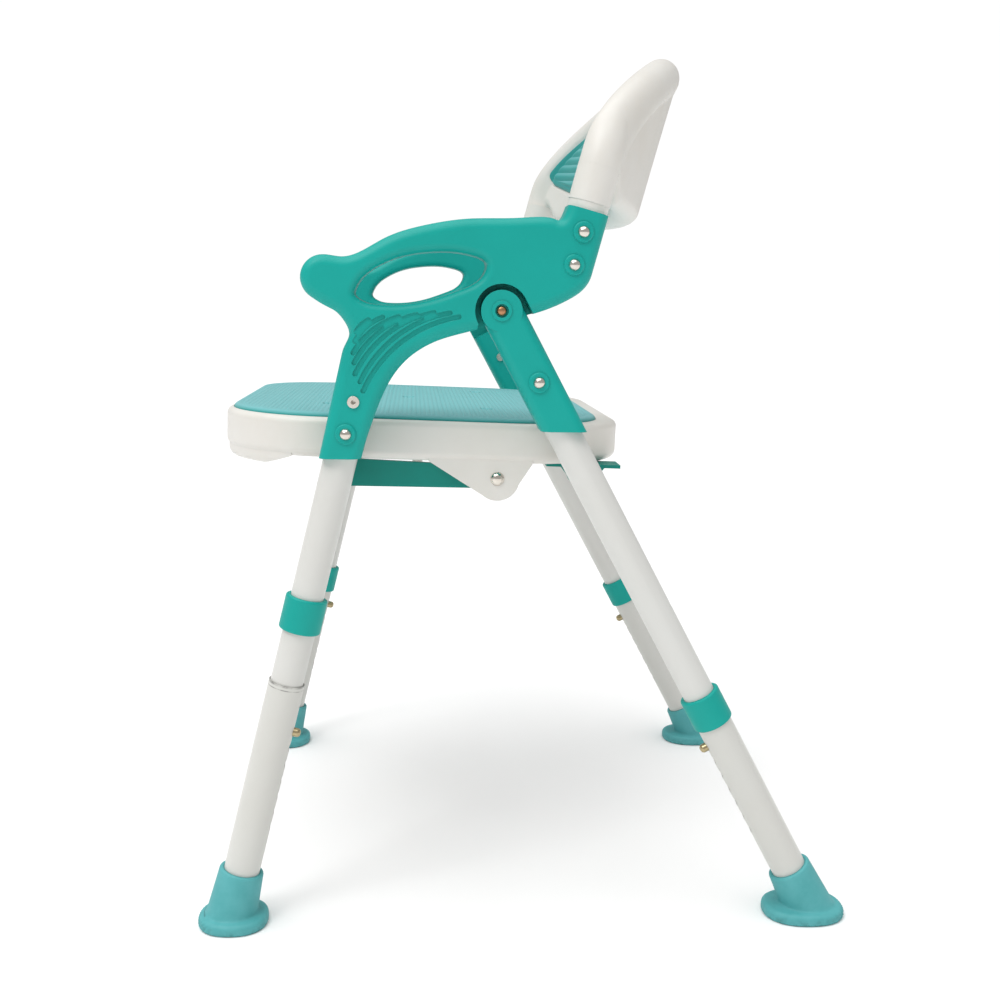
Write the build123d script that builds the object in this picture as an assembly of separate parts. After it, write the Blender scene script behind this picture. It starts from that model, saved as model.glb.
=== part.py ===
from build123d import *
import math
import os

# A folding shower chair with arms, a dished backrest and four telescopic legs.
# Millimetres. +Z is up, the sitter faces -X, and -Y is the sitter's left.
# The origin is on the floor, under the middle of the chair's box.

# ---------------------------------------------------------------- driving sizes
# Stance
LEG_SPACING = 476.0            # between the planes of the left and right legs
STANCE_LENGTH = 594.0          # front of the front feet to back of the rear feet
FRONT_LEAN = 13.4              # degrees from vertical
REAR_LEAN = 28.7
FOLD_ANGLE = 35.0              # how far the rear legs swing forward

# Leg tubes, measured along each leg from the floor
UPPER_TUBE_OD = 29.0
UPPER_TUBE_WALL = 1.4
LOWER_TUBE_WALL = 1.2
SLIDE_GAP = 0.3                # radial, parts that slide on each other
FIT_GAP = 0.05                 # radial, parts that are fixed together
LOWER_TUBE_OD = UPPER_TUBE_OD + 2 * (SLIDE_GAP + LOWER_TUBE_WALL)
FRONT_MOUTH = 232.0            # open end of the front lower tubes
REAR_MOUTH = 238.0
PIN_DROP = 44.0                # lock pin below the mouth
HOLE_PITCH = 15.0
HOLE_COUNT = 7
TUBE_TAIL = 30.0               # upper tube below the lock pin
TUBE_SEAT = 26.0               # lower tube's end above the floor
PIN_DIAMETER = 8.0
PIN_PROUD = 6.5                # pin tip beyond the lower tube
PIN_HOLE_GAP = 0.4             # radial

# Collars
COLLAR_WALL = 2.2
COLLAR_OD = LOWER_TUBE_OD + 2 * (SLIDE_GAP + COLLAR_WALL)
COLLAR_HEIGHT = 31.0
COLLAR_LIP = 5.0               # part of the collar above the tube's mouth
COLLAR_RAISED = 74.0           # how far the front left collar has been slid up

# Feet
FLANGE_WIDTH = 62.0
FRONT_FLANGE_LENGTH = 62.0
REAR_FLANGE_LENGTH = 75.0
FLANGE_HEIGHT = 12.0
FLANGE_AIM = 18.0              # height at which the leg axis is over the flange's centre
SLEEVE_TOP = 52.0
SLEEVE_OD = 39.0
SLEEVE_ROOT_OD = 47.0
FOOT_WASHER = 2.0
SLEEVE_EDGE = 1.5
FLANGE_EDGE = 4.0
TREAD_RADII = (22.0, 15.0)     # ring grooves in the sole
TREAD_WIDTH = 2.4
TREAD_DEPTH = 1.5

# Side frames, measured down each leg from the fold pivot
PIVOT_BEHIND = 105.46          # fold pivot, level behind the front leg's axis
FRONT_SOCKET_DROP = 154.5      # lower end of the armrest's front socket
FRONT_TUBE_DROP = 80.5
REAR_SOCKET_DROP = 116.0       # lower end of the rear link
REAR_TUBE_DROP = 36.0
SOCKET_WALL = 3.0
ARM_THICKNESS = 40.0
ARM_EDGE = 9.0                 # rounding of the armrest's outline
HEAD_THICKNESS = 22.0          # link head, which lies in the armrest's recess
HEAD_RADIUS = 17.5
RECESS_RADIUS = 22.5
LINK_WIDTH = 35.0
LINK_SETBACK = 1.0             # link's outer face, inside the armrest's
LINK_THICKNESS = ARM_THICKNESS - 2 * LINK_SETBACK
LINK_EDGE = 8.0
RECESS_GAP = 0.8               # between link and armrest, side by side

# Backrest
BACK_LEAN = 14.7               # degrees from vertical, leaning rearwards
BACK_SOCKET_DX = 71.7          # mouth of the armrest's rear socket, from the pivot
BACK_SOCKET_DZ = 84.1
BACK_SOCKET_WIDTH = 35.2
BACK_RIVET_DROPS = (18.5, 46.5)
CORE_TUBE_OD = 25.0
CORE_TUBE_WALL = 1.5
CORE_TUBE_BELOW = 58.0
CORE_TUBE_ABOVE = 60.0
UPRIGHT_OD = 36.0
RING_OD = UPRIGHT_OD - 1.0
RING_HEIGHT = 7.0
SLEEVE_HEIGHT = 31.0
SLEEVE_ROOM = 4.0              # shell cut away beside the sleeves, inside their outer side
UPRIGHT_TOP = 52.0             # along the uprights, from the armrest's rear socket
SHELL_TOP = 181.7
SHELL_SHOULDER = 38.7          # height at which the arched top starts
SHELL_BOTTOM = 17.0
SHELL_THICKNESS = 36.0
SHELL_LOW_CORNER = 20.0
BOW_DEPTH = 57.2
PAD_TOP = 150.0
PAD_BOTTOM = 42.0
PAD_SHOULDER = 58.0
PAD_WIDTH = 440.0
BACK_PAD_THICKNESS = 9.0
BACK_PAD_PROUD = 1.5           # in front of the shell's rim
PAD_LOW_CORNER = 14.0
PAD_GAP = 0.4

# Seat
SEAT_NOSE = 109.7              # front edge, ahead of the front cross tube
SEAT_TAIL = 39.8               # rear edge, behind the rear cross tube
SEAT_WIDTH = 414.0
SEAT_BOTTOM = 417.0
SEAT_DEPTH = 36.0              # from there to the top of the shell's rim
SEAT_TOP = SEAT_BOTTOM + SEAT_DEPTH
SEAT_CORNER = 97.0
SEAT_TILT = 1.4                # degrees, front edge up, about the ears
SKIRT = 10.0                   # rolled edge of the tray, seen from below
DECK_THICKNESS = 5.0
DECK_TOP = SEAT_TOP - 7.0
SEAT_PAD_INSET = 6.0
SEAT_PAD_REAR_INSET = 20.0
SEAT_PAD_TOP = SEAT_TOP + 4.0
RIM_TOP_EDGE = 6.0             # roundings of the shell's rim and of the pad
RIM_LOW_EDGE = 8.0
SEAT_PAD_EDGE = 5.0
DRAIN_RADIUS = 5.0
DRAINS = [(-90, -110), (-90, 110), (60, -110), (60, 110), (-15, 0)]      # from the seat's middle
LIP_DEPTH = 9.0                # rolled lip under the seat's front edge
LIP_LENGTH = 42.0
LIP_SLOPE = 26.0               # length over which the lip runs back up into the skirt
LIP_INSET = 2.0
LIP_WALL = 22.0
EAR_THICKNESS = 9.0
EAR_INSET = 2.0                # ear's outer face, inside the seat's side
EAR_AHEAD = 79.2               # ear's pin, ahead of the rear cross tube
EAR_DROP = 14.0                # ear's pin, below the shell's lower edge
EAR_ROOT = 4.0                 # how far the ear's root goes into the skirt
EAR_RADIUS = 20.0
EAR_REACH = 62.0

# Cross tubes and fold links
CROSSBAR_OD = 19.0
CROSSBAR_WALL = 1.5
FRONT_BAR_DROP = 10.0          # below the seat shell's lower edge
REAR_BAR_DROP = 13.0
HINGE_GAP = 0.08               # radial, running fit of the hinges
LINK_BAR_THICKNESS = 6.0
LINK_BAR_HEIGHT = 25.0
LINK_EYE_RADIUS = 14.0
LINK_OPEN_GAP = 0.6            # between the link and the ear, where the loop is opened
LINK_END_RADIUS = 11.5
LINK_TAPER = 2.5               # how much each edge of the link bar comes in at the ear
TIE_OD = 10.0
TIE_SEAT = 3.0                 # how far the tie goes into each link
BRACKET_INSET = 31.0           # middle of a hinge bracket, inside the seat's side
BRACKET_WIDTH = 30.0
BRACKET_HALF = 34.0            # along X, each way from the rear cross tube
BRACKET_PLATE = 3.0
BARREL_WALL = 2.2

# Fasteners
RIVET_SHANK = 6.0
RIVET_HEAD = 10.2
RIVET_DOME = 4.0
RIVET_TAIL = 9.2               # closing head on the inner side
RIVET_TAIL_HEIGHT = 1.8
HOLLOW_RIM = 1.6
HOLLOW_BORE = 4.0
HOLLOW_DEPTH = 12.0
BOSS_OD = 17.6
BOSS_HEIGHT = 2.0
BOSS_CHAMFER = 0.9
PIVOT_BOLT = 8.0
PIVOT_BOLT_DOME = 1.5
PIVOT_THREAD = 6.0             # how far the bolt goes into its nut
NUT_RADIUS = 7.5               # to the corners
NUT_HEIGHT = 6.5
EAR_PIN_HEAD = 12.4
EAR_PIN_DOME = 3.2
PIVOT_RING_OD = 17.0           # raised ring on the link's head
PIVOT_RING_HEIGHT = 1.2
PIVOT_WELL_OD = 11.4           # counterbore in which the bolt's end lies
PIVOT_WELL_DEPTH = 2.6

BASE = (Align.CENTER, Align.CENTER, Align.MIN)
PLANE_Y = LEG_SPACING / 2
SIDES = {"left": -1, "right": 1}


# ---------------------------------------------------------------- frames of reference
def lean(point, along, across, angle):
    """The point reached from a side-view point, up along an axis that leans rearwards."""
    a = math.radians(angle)
    return (
        point[0] + along * math.sin(a) + across * math.cos(a),
        point[1] + along * math.cos(a) - across * math.sin(a),
    )


FRONT_FOOT_X = -STANCE_LENGTH / 2 + FRONT_FLANGE_LENGTH / 2
REAR_FOOT_X = STANCE_LENGTH / 2 - REAR_FLANGE_LENGTH / 2
FRONT_FLOOR = (FRONT_FOOT_X - FLANGE_AIM * math.tan(math.radians(FRONT_LEAN)), 0.0)
REAR_FLOOR = (REAR_FOOT_X + FLANGE_AIM * math.tan(math.radians(REAR_LEAN)), 0.0)


def on_front(along, across=0.0):
    """Side-view point beside the front leg's axis."""
    return lean(FRONT_FLOOR, along, across, FRONT_LEAN)


def on_rear(along, across=0.0):
    """Side-view point beside the rear leg's axis."""
    return lean(REAR_FLOOR, along, across, -REAR_LEAN)


def level_at(height):
    """Side-view points of the front and the rear leg's axis at a height."""
    front = on_front(height / math.cos(math.radians(FRONT_LEAN)))
    rear = on_rear(height / math.cos(math.radians(REAR_LEAN)))
    return front, rear


SPREAD = math.tan(math.radians(FRONT_LEAN)) + math.tan(math.radians(REAR_LEAN))
PIVOT_HEIGHT = (REAR_FLOOR[0] - FRONT_FLOOR[0] - PIVOT_BEHIND) / SPREAD
PIVOT = level_at(PIVOT_HEIGHT)[1]
PIVOT_ALONG = math.dist(REAR_FLOOR, PIVOT)
ARM_DATUM = (                  # place on the front leg's axis that is square with the pivot
    (PIVOT[0] - FRONT_FLOOR[0]) * math.sin(math.radians(FRONT_LEAN))
    + PIVOT[1] * math.cos(math.radians(FRONT_LEAN))
)
BACK_BASE = (PIVOT[0] + BACK_SOCKET_DX, PIVOT[1] + BACK_SOCKET_DZ)


def on_arm(down, across=0.0):
    """Side-view point beside the front leg's axis, measured down it from the pivot's level."""
    return on_front(ARM_DATUM - down, across)


def on_link(down, across=0.0):
    """Side-view point beside the rear leg's axis, measured down it from the pivot."""
    return on_rear(PIVOT_ALONG - down, across)


def on_back(along, across=0.0):
    """Side-view point beside the backrest's upright."""
    return lean(BACK_BASE, along, across, BACK_LEAN)


def from_pivot(dx, dz):
    """Side-view point given from the fold pivot."""
    return (PIVOT[0] + dx, PIVOT[1] + dz)


FRONT_BAR = level_at(SEAT_BOTTOM - FRONT_BAR_DROP)[0]
REAR_BAR = level_at(SEAT_BOTTOM - REAR_BAR_DROP)[1]
TUBE_TOP = {"front": ARM_DATUM - FRONT_TUBE_DROP, "rear": PIVOT_ALONG - REAR_TUBE_DROP}
EAR_X = REAR_BAR[0] - EAR_AHEAD
EAR_Z = SEAT_BOTTOM - EAR_DROP
SEAT_FRONT = FRONT_BAR[0] - SEAT_NOSE
SEAT_REAR = REAR_BAR[0] + SEAT_TAIL


def leg_frame(end, side):
    """Place of a leg: origin on the floor, local Z up along the leg, local X rearwards."""
    floor, angle = (FRONT_FLOOR, FRONT_LEAN) if end == "front" else (REAR_FLOOR, -REAR_LEAN)
    return Location((floor[0], side * PLANE_Y, 0), (0, angle, 0))


def back_frame(side):
    """Place of an upright: origin at the armrest's rear socket, local Z up along it."""
    return Location((BACK_BASE[0], side * PLANE_Y, BACK_BASE[1]), (0, BACK_LEAN, 0))


# ---------------------------------------------------------------- small shapes
def tube(outer, wall, low, high):
    """Upright round tube."""
    height = high - low
    body = Pos(0, 0, low) * Cylinder(outer / 2, height, align=BASE)
    return body - Pos(0, 0, low - 1) * Cylinder(outer / 2 - wall, height + 2, align=BASE)


def disc(radius, low, high):
    """Upright solid cylinder."""
    return Pos(0, 0, low) * Cylinder(radius, high - low, align=BASE)


def cross_rod(point, radius, y_low, y_high):
    """Cylinder along Y, through a side-view point."""
    place = Location((point[0], y_low, point[1]), (-90, 0, 0))
    return place * Cylinder(radius, y_high - y_low, align=BASE)


def side_rod(point, radius, side, inner, outer):
    """Cylinder along Y between two distances from the middle plane, on one side."""
    low, high = sorted((side * inner, side * outer))
    return cross_rod(point, radius, low, high)


def side_plate(curves, y_low, y_high):
    """Plate made by carrying a closed outline, drawn flat as X and Z, along Y."""
    flat = make_face(Wire([edge for curve in curves for edge in curve.edges()]))
    standing = extrude(flat, y_high - y_low)
    return Pos(0, y_high, 0) * Rot(90, 0, 0) * standing


def dome(point, side, face, radius, height):
    """Low dome standing outwards from a face at a distance from the middle plane."""
    ball = (radius * radius + height * height) / (2 * height)
    centre = Pos(point[0], side * (face + height - ball), point[1]) * Sphere(ball)
    keep = side_rod(point, radius, side, face, face + height + 1)
    return centre & keep


def save(name, *solids):
    """Write one node, made of one or more separate solids."""
    parts = [s for shape in solids for s in shape.solids()]
    shape = parts[0] if len(parts) == 1 else Compound(children=parts)
    shape.label = name
    export_step(shape, os.path.join("parts", name + ".step"))


os.makedirs("parts", exist_ok=True)


# ---------------------------------------------------------------- armrest
SOCKET_HALF = UPPER_TUBE_OD / 2 + SOCKET_WALL
SOCKET_RISE = SOCKET_HALF * math.tan(math.radians(FRONT_LEAN))      # keeps the socket's end level


def armrest_outline():
    """The armrest's side view: front socket, hand knob, top, rear socket, underside."""
    knob = ThreePointArc(on_arm(27.9, -55.5), from_pivot(-168.4, 26.1), from_pivot(-152.7, 43.8))
    mouth_front = on_back(0, -BACK_SOCKET_WIDTH / 2)
    mouth_rear = on_back(0, BACK_SOCKET_WIDTH / 2)
    heel = on_back(-50, BACK_SOCKET_WIDTH / 2)
    heel_low = from_pivot(26.0, -2.5)
    belly = from_pivot(-24.0, -17.0)
    foot_rear = on_arm(FRONT_SOCKET_DROP - SOCKET_RISE, SOCKET_HALF)
    foot_front = on_arm(FRONT_SOCKET_DROP + SOCKET_RISE, -SOCKET_HALF)
    neck = on_arm(68.5, -SOCKET_HALF - 1.5)
    front_edge = Line(foot_front, neck)
    underside = Line(heel_low, belly)
    back_edge = Line(mouth_rear, heel)
    curves = [
        front_edge,
        Spline(neck, on_arm(49.5, -17), on_arm(36.5, -29), knob @ 0,
               tangents=[front_edge % 1, knob % 0]),
        knob,
        Spline(knob @ 1, from_pivot(-134.7, 42.6), from_pivot(-99.5, 57.8),
               from_pivot(-67.4, 69.0), from_pivot(-29.5, 75.5), from_pivot(14.4, 77.2),
               from_pivot(43.0, 77.0), mouth_front,
               tangents=[knob % 1, (0.3, 0.95)]),
        Line(mouth_front, mouth_rear),
        back_edge,
        Spline(heel, from_pivot(57.5, 10.5), heel_low, tangents=[back_edge % 1, underside % 0]),
        underside,
        Spline(belly, from_pivot(-50.8, -24.8), from_pivot(-70.0, -34.6),
               from_pivot(-83.3, -46.1), on_arm(79.8, 25.7), on_arm(103.2, 21.0),
               on_arm(130.5, 18.2), foot_rear,
               tangents=[underside % 1, (-0.23, -0.97)]),
        Line(foot_rear, foot_front),
    ]
    return curves


GRIP_HOLE = [                  # outline of the hole for the fingers, from the pivot
    (-123, 14), (-116, 26), (-103, 35.5), (-85.5, 43), (-65, 47), (-44, 48), (-26, 45.5), (-13.5, 38.5),
    (-15.5, 30), (-36, 16.5), (-54, 10), (-72, 5.5), (-89, 3.5), (-104, 3.5), (-117, 6.5),
]
GRIP_EDGE = 6.5                # rounding of the hole's edges
GROOVE_WIDTH = 4.2
GROOVE_DEPTH = 1.6
GROOVES = [                    # front end, middle and rear end of each groove, from the pivot
    ((-121.6, -19.4), (-117.5, -13.6), (-111.5, -9.2)),
    ((-122.5, -27.0), (-112.5, -14.5), (-99.5, -6.8)),
    ((-124.1, -36.8), (-109, -18.5), (-86.5, -6.2)),
    ((-123.3, -45.1), (-103.5, -20), (-71.5, -4.4)),
    ((-122.5, -54.3), (-97.5, -22), (-57.0, -2.4)),
    ((-118.3, -60.9), (-90, -24), (-43.5, -2.5)),
    ((-115.8, -68.4), (-85, -28), (-36.0, -5.6)),
]
FRONT_RIVET = on_arm(132.5)
HOLLOW_RIVET = on_arm(104.5)
BACK_RIVETS = [on_back(-drop) for drop in BACK_RIVET_DROPS]
LINK_RIVET = on_link(68)


def loop(points):
    """Smooth closed outline through points given from the fold pivot."""
    return [Spline(*[from_pivot(*point) for point in points], periodic=True)]


def recess_outline(gap):
    """Room for the link's head and shoulders at rest, folded and between."""
    turn = math.radians(REAR_LEAN)
    folded = math.radians(REAR_LEAN - FOLD_ANGLE)
    radius, half, reach = RECESS_RADIUS, HEAD_RADIUS + gap, 60.0
    rear = (PIVOT[0] + radius * math.cos(turn), PIVOT[1] + radius * math.sin(turn))
    front = (PIVOT[0] - half * math.cos(folded), PIVOT[1] - half * math.sin(folded))
    rear_low = (rear[0] + reach * math.sin(turn), rear[1] - reach * math.cos(turn))
    front_low = (front[0] + reach * math.sin(folded), front[1] - reach * math.cos(folded))
    front_high = (front[0] - 8 * math.sin(folded), front[1] + 8 * math.cos(folded))
    return [Polyline(rear, rear_low, front_low, front_high), Line(front_high, rear)]


def through_arm(point, diameter, side):
    """Bore right through the side frame for a rivet or bolt."""
    return side_rod(point, diameter / 2 + FIT_GAP, side, PLANE_Y - ARM_THICKNESS, PLANE_Y + ARM_THICKNESS)


def armrest(side):
    """Moulded side: arm, front socket, rear socket and the recess for the link's head."""
    half = ARM_THICKNESS / 2
    body = side_plate(armrest_outline(), -half, half)
    mouths = (2 * math.hypot(SOCKET_HALF, SOCKET_RISE), BACK_SOCKET_WIDTH)
    rims = [
        edge for edge in body.edges()
        if abs(abs(edge.center().Y) - half) < 0.001
        and not (edge.geom_type == GeomType.LINE
                 and min(abs(edge.length - mouth) for mouth in mouths) < 0.01)
    ]
    body = fillet(rims, ARM_EDGE)
    before = {round(edge.length, 3) for edge in body.edges()}
    body = body - side_plate(loop(GRIP_HOLE), -half - 1, half + 1)
    grip_rims = [
        edge for edge in body.edges()
        if abs(abs(edge.center().Y) - half) < 0.001 and round(edge.length, 3) not in before
    ]
    body = fillet(grip_rims, GRIP_EDGE)
    floor = side * (half - GROOVE_DEPTH)
    low, high = sorted((floor, side * (half + 1)))
    for groove in GROOVES:
        slot = SlotArc(ThreePointArc(*[from_pivot(*point) for point in groove]), GROOVE_WIDTH)
        body = body - Pos(0, high, 0) * Rot(90, 0, 0) * extrude(slot, high - low)
    body = Pos(0, PLANE_Y * side, 0) * body
    outer = PLANE_Y + half
    floor = PLANE_Y + LINK_THICKNESS / 2 - HEAD_THICKNESS - RECESS_GAP
    low, high = sorted((side * floor, side * (outer + 1)))
    body = body - side_plate(recess_outline(RECESS_GAP), low, high)
    body = body - side_rod(PIVOT, RECESS_RADIUS, side, floor, outer + 1)
    body = body - leg_frame("front", side) * disc(UPPER_TUBE_OD / 2 + FIT_GAP, 0, TUBE_TOP["front"])
    body = body - back_frame(side) * disc(CORE_TUBE_OD / 2 + FIT_GAP, -CORE_TUBE_BELOW, 5)
    for point in (FRONT_RIVET, HOLLOW_RIVET, *BACK_RIVETS):
        body = body - through_arm(point, RIVET_SHANK, side)
    return body - through_arm(PIVOT, PIVOT_BOLT, side)


# ---------------------------------------------------------------- rear link
HEAD_REACH = 34.0              # thin head, measured down the leg from the pivot


def rear_link(side):
    """Moulded socket over the rear tube, with a thin head that turns in the armrest."""
    width, half = LINK_WIDTH, LINK_THICKNESS / 2
    low, high = PIVOT_ALONG - REAR_SOCKET_DROP - width, PIVOT_ALONG
    bar = Pos(0, 0, low) * Box(width, LINK_THICKNESS, high - low, align=BASE)
    bar = leg_frame("rear", side) * fillet(bar.edges().filter_by(Axis.Z), LINK_EDGE)
    below = Pos(0, side * PLANE_Y, 0) * Box(
        2 * STANCE_LENGTH, 2 * LINK_THICKNESS, on_link(REAR_SOCKET_DROP)[1], align=BASE)
    bar = bar - below
    outer = PLANE_Y + half
    head = side_rod(PIVOT, HEAD_RADIUS, side, outer - HEAD_THICKNESS, outer)
    inner_face = outer - HEAD_THICKNESS
    thin = Pos(0, 0, PIVOT_ALONG - HEAD_REACH) * Box(
        width + 2, LINK_THICKNESS, HEAD_REACH + width, align=BASE)
    thin = Pos(0, -side * HEAD_THICKNESS, 0) * (leg_frame("rear", side) * thin)
    ring = side_rod(PIVOT, PIVOT_RING_OD / 2, side, outer - 1, outer + PIVOT_RING_HEIGHT)
    body = (bar - thin) + head + ring
    bore = disc(UPPER_TUBE_OD / 2 + FIT_GAP, low - 1, TUBE_TOP["rear"])
    body = body - leg_frame("rear", side) * bore
    body = body - through_arm(LINK_RIVET, RIVET_SHANK, side)
    body = body - side_rod(PIVOT, PIVOT_WELL_OD / 2, side, outer - PIVOT_WELL_DEPTH, outer + 3)
    return body - side_rod(PIVOT, PIVOT_BOLT / 2 + HINGE_GAP, side, inner_face - 1, outer + 1)


# ---------------------------------------------------------------- tubes, legs, locks
MOUTH = {"front": FRONT_MOUTH, "rear": REAR_MOUTH}
PIN_SIDE = {"front": 1, "rear": -1}     # front pins face rearwards, rear pins forwards


def pin_hole(end):
    """Bore for the lock pin, from a leg's axis out through one wall."""
    bore = Cylinder(PIN_DIAMETER / 2 + PIN_HOLE_GAP, LOWER_TUBE_OD, align=BASE)
    return Rot(0, 90 * PIN_SIDE[end], 0) * bore


def upper_tube(end, side):
    """Inner leg tube with a hole for the lock pin, for the cross tube and for the rivets."""
    pin = MOUTH[end] - PIN_DROP
    body = tube(UPPER_TUBE_OD, UPPER_TUBE_WALL, pin - TUBE_TAIL, TUBE_TOP[end])
    body = leg_frame(end, side) * (body - Pos(0, 0, pin) * pin_hole(end))
    bar = FRONT_BAR if end == "front" else REAR_BAR
    body = body - side_rod(bar, CROSSBAR_OD / 2 + FIT_GAP, side, 0, PLANE_Y)
    points = (FRONT_RIVET, HOLLOW_RIVET) if end == "front" else (LINK_RIVET,)
    for point in points:
        body = body - through_arm(point, RIVET_SHANK, side)
    return body


def lower_tube(end, side):
    """Outer leg tube with a row of holes for the lock pin."""
    body = tube(LOWER_TUBE_OD, LOWER_TUBE_WALL, TUBE_SEAT, MOUTH[end])
    for k in range(HOLE_COUNT):
        body = body - Pos(0, 0, MOUTH[end] - PIN_DROP - k * HOLE_PITCH) * pin_hole(end)
    return leg_frame(end, side) * body


COLLAR_ROUNDING = 0.8          # share of the collar's wall


def collar(end, side, raised=0.0):
    """Sleeve nut over the mouth of the lower tube, with a lip that closes on the upper tube."""
    top = MOUTH[end] + COLLAR_LIP
    body = disc(COLLAR_OD / 2, top - COLLAR_HEIGHT, top)
    body = fillet(body.edges().filter_by(GeomType.CIRCLE), COLLAR_WALL * COLLAR_ROUNDING)
    body = body - disc(UPPER_TUBE_OD / 2 + SLIDE_GAP, top - COLLAR_HEIGHT - 1, top + 1)
    body = body - disc(LOWER_TUBE_OD / 2 + SLIDE_GAP, top - COLLAR_HEIGHT - 1, MOUTH[end] + SLIDE_GAP)
    return leg_frame(end, side) * (Pos(0, 0, raised) * body)


BUTTON_FLANGE = 12.0
BUTTON_FLANGE_THICKNESS = 1.5
BUTTON_GAP = 2.15              # flange to the tube's wall
TUBE_BORE = UPPER_TUBE_OD / 2 - UPPER_TUBE_WALL
BUTTON_FLANGE_X = (
    math.sqrt(TUBE_BORE ** 2 - (BUTTON_FLANGE / 2) ** 2) - BUTTON_FLANGE_THICKNESS - BUTTON_GAP
)
LEAF = 1.0
LEAF_WIDTH = 7.0
LEAF_LENGTH = 26.0
LEAF_GAP = 0.72                # fixed leaf to the tube's wall, at the leaf's edges
LEAF_BEND = 10.0


def lock_button(end, side):
    """Round-nosed pin on the moving leaf of its spring, inside the upper tube."""
    tip = LOWER_TUBE_OD / 2 + PIN_PROUD
    pin = Pos(0, 0, BUTTON_FLANGE_X) * Cylinder(PIN_DIAMETER / 2, tip - BUTTON_FLANGE_X, align=BASE)
    pin = fillet(pin.edges().sort_by(Axis.Z)[-1], PIN_DIAMETER / 2 - 0.6)
    flange = Pos(0, 0, BUTTON_FLANGE_X) * Cylinder(BUTTON_FLANGE / 2, BUTTON_FLANGE_THICKNESS, align=BASE)
    body = Rot(0, 90, 0) * (pin + flange)
    leaf = Pos(BUTTON_FLANGE_X - LEAF / 2, 0, 0) * Box(
        LEAF, LEAF_WIDTH, LEAF_LENGTH, align=(Align.CENTER, Align.CENTER, Align.MAX))
    body = body + leaf
    if PIN_SIDE[end] < 0:
        body = mirror(body, Plane.YZ)
    return leg_frame(end, side) * (Pos(0, 0, MOUTH[end] - PIN_DROP) * body)


def spring_leaf(end, side):
    """Fixed leaf of the lock spring, along the far wall of the upper tube."""
    wall = LEAF_GAP - math.sqrt(TUBE_BORE ** 2 - (LEAF_WIDTH / 2) ** 2)
    hung = (Align.MIN, Align.CENTER, Align.MAX)
    leaf = Pos(wall, 0, 0) * Box(LEAF, LEAF_WIDTH, LEAF_LENGTH, align=hung)
    bend = Pos(wall, 0, -LEAF_LENGTH) * Box(LEAF_BEND, LEAF_WIDTH, LEAF, align=hung)
    body = leaf + bend
    if PIN_SIDE[end] < 0:
        body = mirror(body, Plane.YZ)
    return leg_frame(end, side) * (Pos(0, 0, MOUTH[end] - PIN_DROP) * body)


def foot(end, side):
    """Rubber foot: a tapered sleeve that leans with the leg, on a flat flange."""
    length = FRONT_FLANGE_LENGTH if end == "front" else REAR_FLANGE_LENGTH
    x = FRONT_FOOT_X if end == "front" else REAR_FOOT_X
    cone = Cone(SLEEVE_ROOT_OD / 2, SLEEVE_OD / 2, SLEEVE_TOP, align=BASE)
    cone = fillet(cone.edges().sort_by(Axis.Z)[-1], SLEEVE_EDGE)
    body = leg_frame(end, side) * cone
    reach = 2 * (length + SLEEVE_TOP)
    body = body & (Pos(x, side * PLANE_Y, 0) * Box(reach, reach, reach, align=BASE))
    flange = extrude(Ellipse(length / 2, FLANGE_WIDTH / 2), FLANGE_HEIGHT)
    flange = fillet(flange.edges().sort_by(Axis.Z)[-1], FLANGE_EDGE)
    body = body + Pos(x, side * PLANE_Y, 0) * flange
    for radius in TREAD_RADII:
        groove = disc(radius + TREAD_WIDTH / 2, -1, TREAD_DEPTH) - disc(radius - TREAD_WIDTH / 2, -2, 3)
        body = body - Pos(x, side * PLANE_Y, 0) * groove
    bore = disc(LOWER_TUBE_OD / 2 + FIT_GAP, TUBE_SEAT - FOOT_WASHER, SLEEVE_TOP + 1)
    return body - leg_frame(end, side) * bore


def foot_washer(end, side):
    """Steel disc under the tube's end, so that it can't cut through the rubber."""
    return leg_frame(end, side) * disc(LOWER_TUBE_OD / 2, TUBE_SEAT - FOOT_WASHER, TUBE_SEAT)


# ---------------------------------------------------------------- backrest
def bow_radii():
    """Middle, outer and inner radius of the dished plate, taken as a slice of a round wall."""
    half = LEG_SPACING / 2
    radius = (half * half + BOW_DEPTH * BOW_DEPTH) / (2 * BOW_DEPTH)
    return radius, radius + SHELL_THICKNESS / 2, radius - SHELL_THICKNESS / 2


def arch_view(width, bottom, shoulder, top, low_corner):
    """Plate with an arched top, drawn from the front and far deeper than the backrest."""
    arch = Pos(0, shoulder) * Ellipse(width / 2, top - shoulder)
    arch = arch & Pos(0, shoulder + width / 2) * Rectangle(2 * width, width)
    base = Pos(0, (shoulder + bottom) / 2) * Rectangle(width, shoulder - bottom)
    base = fillet(base.vertices().group_by(Axis.Y)[0], low_corner)
    depth = 2 * LEG_SPACING
    standing = Plane(origin=(-depth / 2, 0, 0), x_dir=(0, 1, 0), z_dir=(1, 0, 0)) * (arch + base)
    return extrude(standing, depth)


BACK_MIDDLE = Location((BACK_BASE[0], 0, BACK_BASE[1]), (0, BACK_LEAN, 0))


def round_wall(outer, inner, centre_x):
    """Upright round wall, used to cut a dished plate to its thickness."""
    ring = disc(outer, -SHELL_TOP, 2 * SHELL_TOP) - disc(inner, -2 * SHELL_TOP, 3 * SHELL_TOP)
    return Pos(centre_x, 0, 0) * ring


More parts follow.
